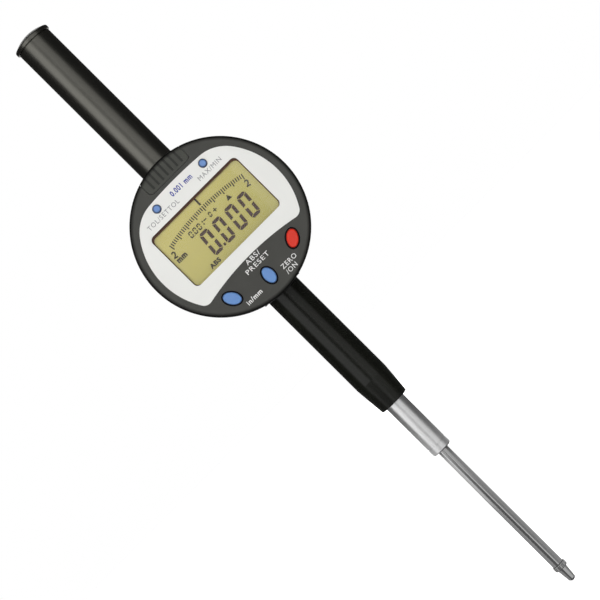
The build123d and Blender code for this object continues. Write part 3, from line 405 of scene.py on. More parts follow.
def moulded_abs(name, base, groove=0.0):
    """ABS moulded in a spark-eroded tool: fine grain, painted shade in the grooves, painted highlight on the
    ribs and painted shade on the head's round edge.
    """
    made, tree, shader = new_material(name, {"Roughness": 0.52, "IOR": 1.53})
    work_in(tree, shader, speckle(tree, 0.22), rough=(0.44, 0.62), relief=(0.012, 0.7))
    work_in(tree, shader, speckle(tree, 9.0, detail=2.0), colours=shades(base, 0.93, 1.08))
    place = add_node(tree, "TexCoord").outputs["Object"]
    # Painted shade and highlight on the drawer's ribs: darker towards the bottom of each groove, lighter on
    # the ridge tops, from the depth along Y
    if groove:
        parts = add_node(tree, "SeparateXYZ", links={"Vector": place})
        depth = add_node(
            tree, "MapRange", sockets={"From Min": FACE_Y + groove * 0.9, "From Max": FACE_Y + groove * 0.1},
            links={"Value": parts.outputs["Y"]},
        )
        painted_groove_shade, painted_ridge_light = (0.5, 0.5, 0.5), (1.25, 1.25, 1.25)
        work_in(tree, shader, depth.outputs["Result"], colours=(painted_groove_shade, painted_ridge_light), stops=(0.0, 1.0))
    # Painted shade on the head's round edge: with the distance from the head's centre the colour darkens
    # nearly to black and the shine drops
    centred = add_node(
        tree, "Mapping", sockets={"Location": (0, 0, -HEAD_Z), "Scale": (1, 0, 1)}, links={"Vector": place}
    )
    reach = add_node(tree, "VectorMath", {"operation": "LENGTH"}, links={0: centred.outputs["Vector"]})
    rim = add_node(
        tree, "MapRange", sockets={"From Min": EDGE_SHADE_START, "From Max": EDGE_SHADE_END},
        links={"Value": reach.outputs["Value"]},
    )
    painted_edge_shade = shades((1, 1, 1), 1.0, 0.14)
    work_in(tree, shader, rim.outputs["Result"], colours=painted_edge_shade, stops=(0.0, 1.0), shine=(0.5, 0.12))
    return made


def anodised_aluminium(name, base):
    """Drawn aluminium tube, dark anodised: metallic satin sheen with fine lines along the tube."""
    made, tree, shader = new_material(name, {"Metallic": 1.0, "Roughness": 0.32})
    work_in(tree, shader, speckle(tree, 6.0, (1, 1, 0.15), 2.0), colours=shades(base, 0.9, 1.08))
    work_in(tree, shader, speckle(tree, 0.3, (1, 1, 0.02)), rough=(0.28, 0.36), relief=(0.001, 0.3))
    return made


def stoved_lacquer(name, base):
    """Black lacquer baked on an aluminium sleeve: smooth and glossy, with a very slight orange peel."""
    made, tree, shader = new_material(name, {"Roughness": 0.24, "IOR": 1.47, "Specular IOR Level": 0.3})
    work_in(tree, shader, speckle(tree, 2.4, (1, 1, 0.05), 2.0), colours=shades(base, 0.8, 1.5))
    work_in(tree, shader, speckle(tree, 1.1, detail=1.0), relief=(0.004, 0.35))
    return made


def crackle_paint(name, base):
    """Black structure paint on die-cast aluminium: round grains, drawn 0.5 mm apart so that they show."""
    made, tree, shader = new_material(name, {"Roughness": 0.45, "IOR": 1.5})
    grains = speckle(tree, 0.5, detail=2.0)
    work_in(tree, shader, grains, colours=shades(base, 0.85, 1.15), relief=(0.03, 0.6))
    return made


def ground_steel(name, base, line=0.1, rough=(0.2, 0.28)):
    """Steel ground between centres: bright, with hair-fine grinding lines round the rod."""
    made, tree, shader = new_material(name, {"Metallic": 1.0, "Roughness": rough[0]})
    lines = speckle(tree, line, (0.04, 0.04, 1), 4.0)
    work_in(tree, shader, lines, colours=shades(base, 0.88, 1.0), rough=rough, relief=(0.0005, 0.3))
    return made


def plain_metal(name, base, rough):
    """Turned or stamped metal left as machined: even sheen with slight patches of tarnish."""
    made, tree, shader = new_material(name, {"Metallic": 1.0, "Roughness": rough})
    marks = speckle(tree, 0.3, detail=4.0)
    work_in(tree, shader, marks, colours=shades(base, 0.82, 1.0), rough=(rough * 0.8, rough * 1.25))
    return made


def printed_film(name, base):
    """Polycarbonate film, screen printed white on its back: satin, with a very fine velvet grain."""
    made, tree, shader = new_material(name, {"Roughness": 0.42, "IOR": 1.58})
    work_in(tree, shader, speckle(tree, 14.0, detail=1.0), colours=shades(base, 0.985, 1.0))
    work_in(tree, shader, speckle(tree, 0.18, detail=2.0), rough=(0.36, 0.48), relief=(0.003, 0.4))
    return made


def printed_ink(name, base):
    """Screen-printed ink: flat and slightly uneven in cover."""
    made, tree, shader = new_material(name, {"Roughness": 0.5, "IOR": 1.5})
    work_in(tree, shader, speckle(tree, 0.3, detail=2.0), colours=shades(base, 0.92, 1.0))
    return made


def display_glass(name, high, low):
    """Reflective liquid-crystal glass: matt polariser over a metallic foil, greener at the upper left."""
    made, tree, shader = new_material(name, {"Roughness": 0.25, "IOR": 1.5})
    place = add_node(tree, "TexCoord").outputs["Object"]
    parts = add_node(tree, "SeparateXYZ", links={"Vector": place}).outputs
    bottom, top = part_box("lcd_panel")
    across, down = (
        add_node(
            tree, "MapRange", sockets={"From Min": start, "From Max": end, "To Max": 0.5},
            links={"Value": parts[axis]},
        ).outputs["Result"]
        for axis, start, end in (("X", bottom.x, top.x), ("Z", top.z, bottom.z))
    )
    slope = add_node(tree, "Math", {"operation": "ADD"}, links={0: across, 1: down}).outputs["Value"]
    work_in(tree, shader, slope, colours=(high, low), stops=(0.15, 0.85))
    foil = speckle(tree, 0.16, detail=2.0)
    work_in(tree, shader, foil, colours=shades((1, 1, 1), 0.93, 1.0), relief=(0.002, 0.4))
    return made


def liquid_crystal(name, base):
    """Switched liquid crystal seen through the polariser: dark and matt, slightly uneven."""
    made, tree, shader = new_material(name, {"Roughness": 0.6, "IOR": 1.5})
    work_in(tree, shader, speckle(tree, 0.5, detail=1.0), colours=shades(base, 0.9, 1.1))
    return made


def clear_acrylic(name):
    """Clear cast acrylic window: a light body with polished faces."""
    made, tree, shader = new_material(
        name, {"Base Color": rgba((1, 1, 1)), "Roughness": 0.02, "IOR": 1.49, "Transmission Weight": 1.0}
    )
    work_in(tree, shader, speckle(tree, 7.0), rough=(0.01, 0.05))
    return made


def moulded_key(name, base, oval, tilt, start, stop, dark):
    """Hard silicone key, lacquered on top: rounded and satin, with painted shade that darkens it towards the
    rim.
    """
    made, tree, shader = new_material(
        name, {"Roughness": 0.36, "IOR": 1.45, "Subsurface Weight": 0.08, "Subsurface Scale": 0.0006}
    )
    work_in(tree, shader, speckle(tree, 0.15, detail=2.0), relief=(0.004, 0.4))
    middle, wide, tall = oval
    place = add_node(tree, "TexCoord").outputs["Object"]
    flat = add_node(
        tree, "Mapping", {"vector_type": "TEXTURE"},
        {"Location": middle, "Rotation": (0, tilt, 0), "Scale": (wide, 1, tall)}, {"Vector": place},
    )
    reach = add_node(tree, "VectorMath", {"operation": "LENGTH"}, links={0: flat.outputs["Vector"]})
    work_in(tree, shader, reach.outputs["Value"], colours=shades(base, 1.0, dark), stops=(start, stop))
    return made


def moulded_rubber(name, base, rough=0.75, gloss=0.5):
    """Moulded rubber: matt, with a dusty bloom."""
    made, tree, shader = new_material(name, {"Roughness": rough, "IOR": 1.5, "Specular IOR Level": gloss})
    work_in(tree, shader, speckle(tree, 0.8), colours=shades(base, 1.0, 1.25), relief=(0.01, 0.5))
    return made


def glass_epoxy_board(name):
    """Glass-epoxy board under green solder mask: copper tracks show as paler green lines."""
    made, tree, shader = new_material(name, {"Roughness": 0.3, "IOR": 1.55})
    colours = {"Color1": "#1d5a2c", "Color2": "#24693a", "Mortar": "#4c9a54"}
    sockets = {key: rgba(linear(value)) for key, value in colours.items()}
    place = add_node(tree, "TexCoord").outputs["Object"]
    tracks = add_node(
        tree, "TexBrick", sockets={**sockets, "Scale": per_mm(6.0), "Mortar Size": 0.04},
        links={"Vector": place},
    )
    tree.links.new(tracks.outputs["Color"], shader.inputs["Base Color"])
    work_in(tree, shader, tracks.outputs["Fac"], relief=(0.03, 0.6))
    return made


def striped(name, sockets, axis, size, first, second, stops):
    """Material with stripes of a real width in millimetres across one axis, and the stripes' pattern."""
    made, tree, shader = new_material(name, sockets)
    place = add_node(tree, "TexCoord").outputs["Object"]
    stripes = add_node(
        tree, "TexWave", {"bands_direction": axis},
        {"Scale": per_mm(size) * UNIT_STRIPES, "Distortion": 0.0}, {"Vector": place},
    ).outputs["Fac"]
    work_in(tree, shader, stripes, colours=(linear(first), linear(second)), stops=stops)
    return made, tree, shader, stripes


def coded_copper(name):
    """Etched scale strip: tinned copper pads 1 mm wide on green board, crosswise to the spindle."""
    made, tree, shader, pads = striped(
        name, {"Roughness": 0.35, "IOR": 1.55}, "Z", 1.0, "#1d5a2c", "#c9c6bb", (0.48, 0.52)
    )
    tree.links.new(pads, shader.inputs["Metallic"])
    return made


def polyimide_film(name):
    """Polyimide ribbon: clear amber film over copper conductors 0.5 mm wide."""
    return striped(name, {"Roughness": 0.25, "IOR": 1.6}, "X", 0.5, "#a8702c", "#c98a3c", (0.4, 0.6))[0]


def lit_card(name, strength):
    """Cloth or felt of an even brightness, whatever light falls on it, with a 2 mm weave."""
    made, tree, shader = new_material(
        name, {"Base Color": rgba((0, 0, 0)), "Emission Color": rgba((1, 1, 1)), "Specular IOR Level": 0.0}
    )
    work_in(tree, shader, speckle(tree, 2.0), glow=(strength * 0.95, strength * 1.05))
    return made


def white_sweep(name):
    """Seamless white paper: matt, and pure white where the camera, gloss and glass see it."""
    made, tree, shader = new_material(
        name, {"Base Color": rgba((0.86, 0.86, 0.86)), "Emission Color": rgba((1, 1, 1)), "Roughness": 0.9}
    )
    work_in(tree, shader, speckle(tree, 3.0), relief=(0.05, 0.2))
    rays = add_node(tree, "LightPath").outputs
    seen = rays["Is Camera Ray"]
    for other in ("Is Glossy Ray", "Is Transmission Ray"):
        seen = add_node(tree, "Math", {"operation": "MAXIMUM"}, links={0: seen, 1: rays[other]}).outputs[0]
    work_in(tree, shader, seen, glow=(0.0, 0.85))
    return made


class PieceOperator:
    """What the operators share."""

    bl_options = {"REGISTER", "UNDO"}

    @property
    def colours(self):
        """The scene's colours."""
        return bpy.context.scene.indicator_colours

    @property
    def prints(self):
        """The scene's print sizes."""
        return bpy.context.scene.indicator_print


class INDICATOR_OT_head(PieceOperator, Operator):
    """Finish the moulded head, its rear plate, the battery drawer and the data port's cover"""

    bl_idname = "indicator.head"
    bl_label = "Head mouldings"

    def execute(self, context):
        housing = moulded_abs("abs_moulded_housing", self.colours.housing)
        finish_nodes(housing, "display_housing", "turn_plate")
        finish_nodes(moulded_abs("abs_moulded_cover", self.colours.drawer), "data_port_cover")
        drawer = moulded_abs("abs_moulded_drawer", self.colours.drawer, groove=self.prints.rib_groove)
        finish_nodes(drawer, "battery_drawer")
        return {"FINISHED"}


class INDICATOR_OT_body(PieceOperator, Operator):
    """Finish the rear body, its cover and the screws"""

    bl_idname = "indicator.body"
    bl_label = "Rear body"

    def execute(self, context):
        paint = crackle_paint("aluminium_structure_painted", self.colours.body)
        finish_nodes(paint, "rear_body", "back_cover")
        finish_nodes(
            plain_metal("steel_black_oxide", linear("#3a3a38"), rough=0.36),
            "cover_screws", "plate_screws", "guide_screws", "reader_screws", "ring_screws", "board_screws",
        )
        return {"FINISHED"}


class INDICATOR_OT_tubes(PieceOperator, Operator):
    """Finish the upper tube, its cap and the lower sleeve"""

    bl_idname = "indicator.tubes"
    bl_label = "Tube, cap and sleeve"

    def execute(self, context):
        tube = anodised_aluminium("aluminium_drawn_anodised", self.colours.tube)
        finish_nodes(tube, "upper_tube", "end_cap")
        finish_nodes(stoved_lacquer("aluminium_stoved_lacquer", self.colours.sleeve), "lower_sleeve")
        return {"FINISHED"}


class INDICATOR_OT_steels(PieceOperator, Operator):
    """Finish the stem, the spindle and its contact point, and knurl the point's collar"""

    bl_idname = "indicator.steels"
    bl_label = "Stem and spindle"

    # A tooth's foot and top, as parts of the distance to the next tooth and of its own foot
    foot_part = 0.8
    top_part = 0.35
    end_height = 0.3

    def execute(self, context):
        finish_nodes(ground_steel("steel_ground_stem", linear("#f2f2f2"), rough=(0.32, 0.4)), "stem")
        rod = ground_steel("steel_ground_spindle", linear("#b4b4b4"), rough=(0.1, 0.15))
        finish_nodes(rod, "spindle", "guide_pin", "stop_pin")
        point = ground_steel("steel_turned_point", linear("#b0b0b0"), line=0.12, rough=(0.1, 0.2))
        finish_nodes(point, "contact_point")
        knurl = context.scene.indicator_knurl
        low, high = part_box("contact_point")
        radius = (high.x - low.x) / 2
        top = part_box("spindle")[0].z
        half = math.pi / knurl.teeth * self.foot_part
        inset = knurl.margin + knurl.bevel
        bottom = top - knurl.collar
        shape = bmesh.new()
        for i in range(knurl.teeth):
            middle = 2 * math.pi * i / knurl.teeth
            rows = []
            for z, rise in (
                (bottom + knurl.margin, self.end_height), (bottom + inset, 1),
                (top - inset, 1), (top - knurl.margin, self.end_height),
            ):
                outer = radius + knurl.height * rise
                inner = radius - knurl.root
                narrow = half * self.top_part
                rows.append([
                    shape.verts.new((r * math.cos(middle + turn), r * math.sin(middle + turn), z))
                    for turn, r in ((-half, inner), (-narrow, outer), (narrow, outer), (half, inner))
                ])
            for lower, upper in zip(rows, rows[1:]):
                for k in range(4):
                    shape.faces.new((lower[k - 1], lower[k], upper[k], upper[k - 1]))
            shape.faces.new(rows[0][::-1])
            shape.faces.new(rows[-1])
        place_piece("point_knurl", shape, point, "spindle_group")
        return {"FINISHED"}


class INDICATOR_OT_legends(PieceOperator, Operator):
    """Finish the face label, and print the legends on it and on the housing"""

    bl_idname = "indicator.legends"
    bl_label = "Label and legends"

    def execute(self, context):
        finish_nodes(printed_film("polycarbonate_printed_film", self.colours.label), "face_label")
        for name, ink, base, rows in (
            (
                "label_legends", "ink_grey_screen_printed", self.colours.grey_ink,
                (("TOL/SETTOL", -11.0, 16.6, 14.4, 1.7, 0.0, 0), ("MAX/MIN", 11.4, 16.6, 10.4, 1.7, 0.0, 0)),
            ),
            (
                "label_resolution", "ink_blue_screen_printed", self.colours.blue_ink,
                ((self.prints.resolution, 0.5, 19.6, 9.6, 2.1, 0.03, 0),),
            ),
            (
                "housing_legends", "ink_white_screen_printed", self.colours.white_ink,
                (
                    ("ABS/", 0.25, -15.3, 6.2, 1.75, 0.005, 0),
                    ("PRESET", 0.15, -17.75, 10.4, 1.7, 0.005, 0),
                    ("in/mm", -8.9, -25.3, 6.6, 1.8, 0.025, 0),
                    ("ZERO", 8.15, -24.9, 6.6, 1.75, 0.005, 0),
                    ("/ON", 7.2, -27.3, 4.6, 1.75, 0.005, 0),
                ),
            ),
        ):
            inked = printed_ink(ink, base)
            lettering(name, rows, inked, "display_group", FACE_Y, self.prints.ink)
        return {"FINISHED"}


class INDICATOR_OT_display(PieceOperator, Operator):
    """Finish the display's window, glass and frame, and lay a ring of painted shadow inside the window's
    opening
    """

    bl_idname = "indicator.display"
    bl_label = "Display glass and window"

    def execute(self, context):
        finish_nodes(clear_acrylic("acrylic_polished_window"), "lcd_window")
        # The lamps light the display glass as if the window before it cast no shadow
        NODES["lcd_window"].visible_shadow = False
        tints = (self.colours.glass_high, self.colours.glass_low)
        finish_nodes(display_glass("display_glass_reflective", *tints), "lcd_panel")
        finish_nodes(moulded_abs("abs_moulded_black", linear("#242422")), "lcd_frame", "data_connector")
        sizes = self.prints
        low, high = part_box("lcd_window")
        right = ((high.x - low.x) / 2 - sizes.window_lap) / MM
        top = (high.z - HEAD_Z - sizes.window_lap) / MM
        bottom = (low.z - HEAD_Z + sizes.window_lap) / MM
        radius = sizes.window_corner / MM
        # Painted shadow: a dark brown ring inside the window's opening, widest along the top, stands for the
        # shadow of the opening's edge
        side, over, under = (width / MM for width in (sizes.shadow_side, sizes.shadow_top, sizes.shadow_low))
        outer = rounded(-right, right, bottom, top, radius)
        inner = rounded(side - right, right - side, bottom + under, top - over, radius)
        front = low.y - sizes.ink
        shape = bmesh.new()
        add_ring(shape, [
            [face_point(x, z, depth) for x, z in line]
            for line, depth in ((outer, low.y), (outer, front), (inner, front), (inner, low.y))
        ])
        ink = printed_ink("brown_painted_shadow", self.colours.window_shadow)
        place_piece("window_shadow_ring", shape, ink, "display_group")
        return {"FINISHED"}


class INDICATOR_OT_figures(PieceOperator, Operator):
    """Lay the figures, the arched scale and the small words on the display glass"""

    bl_idname = "indicator.figures"
    bl_label = "Display figures"

    # Which segments each sign lights: top, upper right, lower right, bottom, lower left and upper left
    lit = {"0": (1, 1, 1, 1, 1, 1), "1": (0, 1, 1, 0, 0, 0)}
    # Where the arched scale's middle and its pointer stand, in millimetres from the head's centre
    scale_top = (0.4, 9.6)
    pointer = (0.08, 0.82, 10.1, 13.1)

    def digit(self, shape, sign, x, z, width, height, stroke, back, front):
        """One seven-segment digit, from chamfered bars that stop short of each other."""
        lean = math.tan(self.prints.slant)
        half_w = width / 2
        half_h = height / 2
        gap = stroke * 0.13
        cut = stroke * 0.5
        waist = gap * 2.2
        top, upper_right, lower_right, bottom, lower_left, upper_left = self.lit[sign]
        bars = []
        for on, sz in ((top, 1), (bottom, -1)):
            if on:
                half = (
                    (half_w - cut - gap, sz * half_h), (half_w - gap, sz * (half_h - cut)),
                    (half_w - stroke - gap * 0.5, sz * (half_h - stroke)),
                )
                bars.append([*half, *[(-px, pz) for px, pz in half[::-1]]])
        sides = ((upper_right, 1, 1), (lower_right, 1, -1), (lower_left, -1, -1), (upper_left, -1, 1))
        for on, sx, sz in sides:
            if on:
                out = sx * half_w
                inn = sx * (half_w - stroke)
                bars.append([
                    (out, sz * (half_h - cut - gap)), (out, sz * waist),
                    (inn, sz * (waist + cut * 0.5)), (inn, sz * (half_h - stroke - gap)),
                ])
        for points in bars:
            add_flat(shape, [(x + px + pz * lean, z + pz) for px, pz in points], back, front)

    def large(self, back, front):
        """The four large digits and their point."""
        sizes = self.prints
        width, height, stroke = (v / MM for v in (sizes.digit_width, sizes.digit_height, sizes.digit_stroke))
        shape = bmesh.new()
        for x in (-5.88, 0.12, 6.2, 12.2):
            self.digit(shape, "0", x, -1.45, width, height, stroke, back, front)
        add_flat(shape, [(-3.5, -4.75), (-2.65, -4.75), (-2.75, -5.75), (-3.6, -5.75)], back, front)
        return shape

    def small(self, back, front):
        """The small resolution with its point, minus, nought and plus, and the triangle."""
        shape = bmesh.new()
        for sign, x in (("0", -9.05), ("0", -7.1), ("0", -5.15), ("1", -3.75)):
            self.digit(shape, sign, x, 5.15, 1.45, 2.4, 0.46, back, front)
        self.digit(shape, "0", 0.5, 5.5, 1.2, 1.9, 0.42, back, front)
        for corners in (
            block(-8.25, -7.95, 3.9, 4.2), block(-2.7, -1.35, 5.3, 5.7), block(2.05, 3.55, 5.3, 5.7),
            block(2.6, 3.0, 4.75, 6.25), [(9.1, 6.3), (10.2, 4.4), (8.0, 4.4)],
        ):
            add_flat(shape, corners, back, front)
        return shape

    def scale(self, back, front):
        """The arched scale and its pointer."""
        sizes = self.prints
        radius = sizes.scale_radius / MM
        half = sizes.tick_width / MM / 2
        count = sizes.scale_parts * sizes.tick_parts
        x, z = self.scale_top
        centre = Vector((x, z - radius))
        shape = bmesh.new()
        for i in range(count + 1):
            turn = (i - count / 2) * sizes.scale_pitch / sizes.tick_parts / sizes.scale_radius
            tick = sizes.tick_short if i % sizes.tick_parts else sizes.tick_long
            low = radius - tick / MM
            side = Vector((math.cos(turn), -math.sin(turn)))
            up = Vector((math.sin(turn), math.cos(turn)))
            corners = [
                centre + up * r + side * s
                for r, s in ((radius, -half), (radius, half), (low, half), (low, -half))
            ]
            add_flat(shape, corners, back, front)
        add_flat(shape, block(*self.pointer), back, front)
        return shape

    def execute(self, context):
        lift = self.prints.segment_lift
        back = GLASS_Y - lift
        front = back - lift
        dark = liquid_crystal("liquid_crystal_dark", self.colours.figure)
        pale = liquid_crystal("liquid_crystal_fine", self.colours.tick)
        place_piece("large_figures", self.large(back, front), dark, "display_group")
        place_piece("small_figures", self.small(back, front), pale, "display_group")
        place_piece("arched_scale", self.scale(back, front), pale, "display_group")
        lettering(
            "display_words",
            (
                ("2", -18.0, 4.3, 1.7, 2.6, 0.03, -14),
                ("2", 17.2, 4.1, 1.7, 2.6, 0.03, -18),
                ("mm", -16.8, 1.75, 4.2, 1.6, 0.06, 0),
                ("ABS", -10.1, -7.55, 4.6, 1.75, 0.06, 0),
            ),
            pale, "display_group", back, lift,
        )
        return {"FINISHED"}


class INDICATOR_OT_keys(PieceOperator, Operator):
    """Finish the five keys, and lay a near-black ring of painted shade in the gap round each oval one"""

    bl_idname = "indicator.keys"
    bl_label = "Keys"

    # Painted shade round a key's rim: where it begins and is full, in parts of its half axes, and how dark it
    # gets
    oval_rim_shade = (0.9, 1.02, 0.1)
    round_rim_shade = (0.55, 1.0, 0.12)

    def execute(self, context):
        sizes = self.prints
        blue = self.colours.key_blue
        deep = self.colours.key_deep
        red = self.colours.key_red
        front = FACE_Y - sizes.ink
        back = FACE_Y + sizes.gap_shade_depth
        shape = bmesh.new()
        for node, finish, base, tilt, rim in (
            ("in_mm_button", "silicone_lacquered_left", blue, -sizes.key_tilt, self.oval_rim_shade),
            ("preset_button", "silicone_lacquered_middle", blue, 0.0, self.oval_rim_shade),
            ("zero_button", "silicone_lacquered_right", red, sizes.key_tilt, self.oval_rim_shade),
            ("tol_button", "silicone_lacquered_round_left", deep, 0.0, self.round_rim_shade),
            ("max_min_button", "silicone_lacquered_round_right", deep, 0.0, self.round_rim_shade),
        ):
            oval = oval_of(node, tilt, sizes.key_flange)
            finish_nodes(moulded_key(finish, base, oval, tilt, *rim), node)
            if rim == self.oval_rim_shade:
                # Painted shade: a near-black ring in the gap round each oval key
                middle, wide, tall = oval
                near, far = sizes.key_play, sizes.key_gap
                add_ring(shape, [
                    oval_loop(middle, wide + grow, tall + grow, tilt, depth)
                    for grow, depth in ((near, back), (near, front), (far, front), (far, back))
                ])
        rubber = moulded_rubber("painted_gap_shade", linear("#0e0e12"), gloss=0.1)
        place_piece("key_gap_shade", shape, rubber, "display_group")
        return {"FINISHED"}


class INDICATOR_OT_inner(PieceOperator, Operator):
    """Finish the pieces inside the body, the sleeve and the head"""

    bl_idname = "indicator.inner"
    bl_label = "Inner pieces"

    def execute(self, context):
        for name, base, rough, nodes in (
            ("bronze_sintered", "#b08d57", 0.4, ("lower_bush", "upper_bush")),
            ("phosphor_bronze_stamped", "#c39a5e", 0.28, ("battery_contacts",)),
            (
                "steel_zinc_plated", "#9a9a98", 0.3,
                ("spring_anchor", "spindle_carrier", "guide_rails", "retaining_ring"),
            ),
            ("stainless_steel_drawn", "#c4c4c0", 0.22, ("coin_cell",)),
        ):
            finish_nodes(plain_metal(name, linear(base), rough), *nodes)
        for name, base, rough, nodes in (
            ("rubber_moulded_black", "#202020", 0.75, ("stop_bumper", "friction_washer")),
            ("silicone_moulded_black", "#1b1b1c", 0.6, ("keypad_mat", "upper_pads")),
            ("silicone_conductive_strip", "#6e6e6a", 0.55, ("zebra_strips",)),
            ("epoxy_cast_resin", "#161616", 0.3, ("controller_chip",)),
        ):
            finish_nodes(moulded_rubber(name, linear(base), rough), *nodes)
        finish_nodes(ground_steel("steel_spring_wire", linear("#a8a8a6"), rough=(0.2, 0.34)), "return_spring")
        finish_nodes(glass_epoxy_board("glass_epoxy_board"), "reader_board", "display_board")
        finish_nodes(coded_copper("copper_etched_scale"), "scale_strip")
        finish_nodes(polyimide_film("polyimide_film_cable"), "flex_cable")
        return {"FINISHED"}


class INDICATOR_OT_stage(PieceOperator, Operator):
    """Set the floor, the lamps, the dark cards that bright metal mirrors, and the camera"""

    bl_idname = "indicator.stage"
    bl_label = "Stage"

    def lamp(self, name, place, size, power, aim):
        """A square soft lamp that faces a point."""
        light = bpy.data.lights.new(name, "AREA")
        light.size = size
        light.energy = power
        holder = new_object(name, light)
        holder.location = place
        holder.rotation_mode = "QUATERNION"
        holder.rotation_quaternion = (Vector(aim) - Vector(place)).to_track_quat("-Z", "Y")
        holder.visible_glossy = False
        holder.visible_transmission = False

    def sheet(self, name, corners, material):
        """A flat sheet with four corners."""
        mesh = bpy.data.meshes.new(name)
        mesh.from_pydata(corners, [], [(0, 1, 2, 3)])
        mesh.materials.append(material)
        return new_object(name, mesh)

    def card(self, name, corners, material):
        """A flat card that only gloss mirrors."""
        piece = self.sheet(name, corners, material)
        piece.visible_camera = False
        piece.visible_diffuse = False
        piece.visible_shadow = False
        piece.visible_transmission = False

    def upright(self, name, start, end, low, high, material):
        """An upright card between two places on the floor plan."""
        self.card(name, [(*start, low), (*end, low), (*end, high), (*start, high)], material)

    def cards(self, studio):
        """The cards that metal and lacquer mirror, which give them their bright and dark bands."""
        black, line, grey, faint = (
            lit_card(name, strength)
            for name, strength in (
                ("felt_dark", studio.felt), ("felt_line", studio.line_sheet),
                ("sheet_lit_grey", studio.grey_sheet), ("sheet_lit_faint", studio.low_sheet),
            )
        )
        # Black felt stands at both sides of the tube and sleeve, and its near edge leans back towards the top
        low, high, far = -0.03, 0.6, 0.6
        for side, x, near_low, near_high in (("left", -0.15, -0.055, -0.155), ("right", 0.15, -0.12, -0.2)):
            corners = [(x, near_low, low), (x, far, low), (x, far, high), (x, near_high, high)]
            self.card(f"felt_{side}", corners, black)
        # More felt lies under and over the object
        for name, near, far, z in (("felt_under", -0.3, 0.7, -0.4), ("felt_over", -0.45, 1.5, 1.3)):
            self.card(name, [(-1, near, z), (1, near, z), (1, far, z), (-1, far, z)], black)
        # Felt and grey cloth beside the camera and low down, one above the other, draw the lines on the steel
        before = ((-0.23, -0.76), (0.05, -0.76))
        for name, (start, end), low, high, material in (
            ("felt_camera", before, -0.035, 0.185, black),
            ("sheet_camera", before, 0.185, 1.6, grey),
            ("sheet_stem", before, -0.095, -0.035, grey),
            ("felt_camera_low", ((-0.62, -0.5), (-0.1, -0.76)), -1.4, -0.085, line),
            ("sheet_low", ((0.15, -0.12), (0.15, 0.08)), -0.13, -0.03, grey),
            ("sheet_low_left", ((-0.15, -0.055), (-0.15, 0.6)), -0.4, -0.06, grey),
        ):
            self.upright(name, start, end, low, high, material)
        # Bright cloth at both sides of the camera has its own parts for the stem, the spindle and the point
        for side, strength, start, end in (
            ("left", studio.left_sheet, (-1.02, -0.45), (-0.25, -1.25)),
            ("right", studio.right_sheet, (1.02, -0.8), (0.25, -1.25)),
        ):
            bright = lit_card(f"sheet_lit_{side}", strength)
            stem_lit = lit_card(f"sheet_lit_stem_{side}", strength * studio.stem_sheet)
            for part, low, high, material in (
                ("", -0.02, 1.6, bright), ("_stem", -0.165, -0.02, stem_lit), ("_low", -0.33, -0.165, faint),
                ("_point", -1.4, -0.33, faint if side == "left" else stem_lit),
            ):
                self.upright(f"sheet_{side}{part}", start, end, low, high, material)

    def room(self, studio):
        """White where the camera, the gloss or the window sees it, and an even faint light elsewhere."""
        world = bpy.data.worlds.new("white_room")
        world.use_nodes = True
        tree = world.node_tree
        tree.nodes.clear()
        rays = add_node(tree, "LightPath").outputs
        kind = "Math"
        unmirrored, undiffused = (
            add_node(tree, kind, {"operation": "LESS_THAN"}, {1: 0.5}, {0: rays[depth]}).outputs[0]
            for depth in ("Glossy Depth", "Diffuse Depth")
        )
        seen = rays["Is Transmission Ray"]
        for operation, other in (
            ("MULTIPLY", unmirrored), ("MAXIMUM", rays["Is Camera Ray"]), ("MAXIMUM", rays["Is Glossy Ray"]),
            ("MULTIPLY", undiffused),
        ):
            seen = add_node(tree, kind, {"operation": operation}, links={0: seen, 1: other}).outputs[0]
        strength = add_node(tree, "MapRange", sockets={"To Min": studio.surround}, links={"Value": seen})
        backdrop = add_node(
            tree, "Background", sockets={"Color": rgba((1, 1, 1))},
            links={"Strength": strength.outputs["Result"]},
        )
        add_node(tree, "OutputWorld", links={"Surface": backdrop.outputs["Background"]})
        return world

    def camera(self, studio, aim):
        """A rolled camera that looks at the display's side of the indicator."""
        camera = bpy.data.cameras.new("camera")
        camera.sensor_width = 36.0
        camera.lens = camera.sensor_width / 2 * studio.distance / studio.half_view
        camera.clip_start = 0.01
        camera.clip_end = 50.0
        holder = new_object("camera", camera)
        forward = Vector((math.sin(studio.turn), math.cos(studio.turn), 0))
        level = Vector((math.cos(studio.turn), -math.sin(studio.turn), 0))
        rise = Vector((0, 0, 1))
        right = level * math.cos(studio.roll) - rise * math.sin(studio.roll)
        up = level * math.sin(studio.roll) + rise * math.cos(studio.roll)
        turned = Matrix((right, up, -forward)).transposed().to_4x4()
        holder.matrix_world = Matrix.Translation(aim - forward * studio.distance) @ turned
        return holder

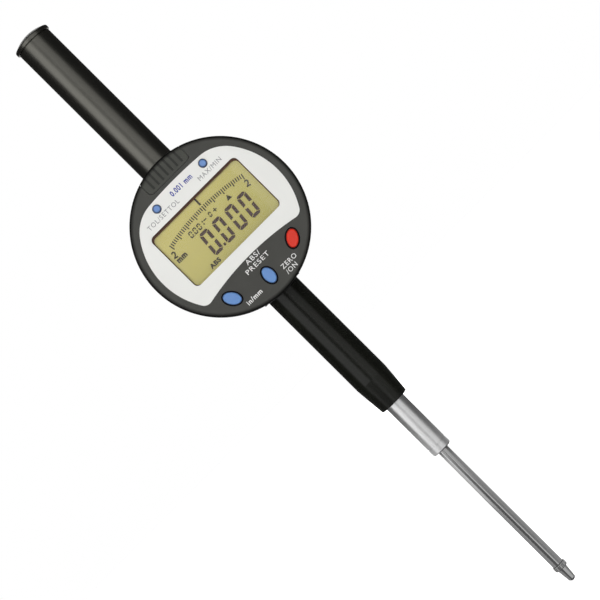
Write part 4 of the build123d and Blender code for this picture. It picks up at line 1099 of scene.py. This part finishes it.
    def execute(self, context):
        scene = context.scene
        studio = scene.indicator_studio
        scene.view_settings.view_transform = "Standard"
        reach = 4.0
        low = CAD_LOW.z
        corners = [(-reach, -reach, low), (reach, -reach, low), (reach, reach, low), (-reach, reach, low)]
        floor = self.sheet("floor", corners, white_sweep("paper_white_sweep"))
        floor.visible_glossy = False
        self.cards(studio)
        aim = Vector((studio.aim_x, 0, studio.aim_z))
        self.lamp("key_lamp", (-0.4, -1.2, 0.6), 0.5, studio.key_power, aim)
        self.lamp("front_lamp", (-0.05, -1.35, 0.25), 0.6, studio.front_power, aim)
        self.lamp("back_lamp", (0.4, 1.3, 0.5), 0.9, studio.back_power, aim)
        for side in (-1, 1):
            self.lamp("side_lamp", (side * 1.2, 0.7, 0.3), 0.6, studio.side_power, aim)
        scene.world = self.room(studio)
        scene.camera = self.camera(studio, aim)
        return {"FINISHED"}


class INDICATOR_PT_panel(Panel):
    """The indicator's pieces, sizes and colours"""

    bl_idname = "INDICATOR_PT_panel"
    bl_label = "Digital indicator"
    bl_space_type = "VIEW_3D"
    bl_region_type = "UI"
    bl_category = "Indicator"

    def draw(self, context):
        for made in OPERATORS:
            self.layout.operator(made.bl_idname)
        for name, group in GROUPS.items():
            box = self.layout.box()
            for key in group.__annotations__:
                box.prop(getattr(context.scene, name), key)


OPERATORS = (
    INDICATOR_OT_stage,
    INDICATOR_OT_head,
    INDICATOR_OT_body,
    INDICATOR_OT_tubes,
    INDICATOR_OT_steels,
    INDICATOR_OT_legends,
    INDICATOR_OT_display,
    INDICATOR_OT_figures,
    INDICATOR_OT_keys,
    INDICATOR_OT_inner,
)
GROUPS = {
    "indicator_colours": IndicatorColours,
    "indicator_print": IndicatorPrint,
    "indicator_knurl": IndicatorKnurl,
    "indicator_studio": IndicatorStudio,
}


def register():
    """Register the property groups, the operators and the panel."""
    for name, group in GROUPS.items():
        bpy.utils.register_class(group)
        setattr(bpy.types.Scene, name, PointerProperty(type=group))
    for made in OPERATORS:
        bpy.utils.register_class(made)
    bpy.utils.register_class(INDICATOR_PT_panel)


def unregister():
    """Take everything off again."""
    bpy.utils.unregister_class(INDICATOR_PT_panel)
    for made in reversed(OPERATORS):
        bpy.utils.unregister_class(made)
    for name, group in GROUPS.items():
        delattr(bpy.types.Scene, name)
        bpy.utils.unregister_class(group)


def main():
    """Register, and build everything in order."""
    register()
    for made in OPERATORS:
        group, name = made.bl_idname.split(".")
        getattr(getattr(bpy.ops, group), name)()


if __name__ == "__main__":
    main()
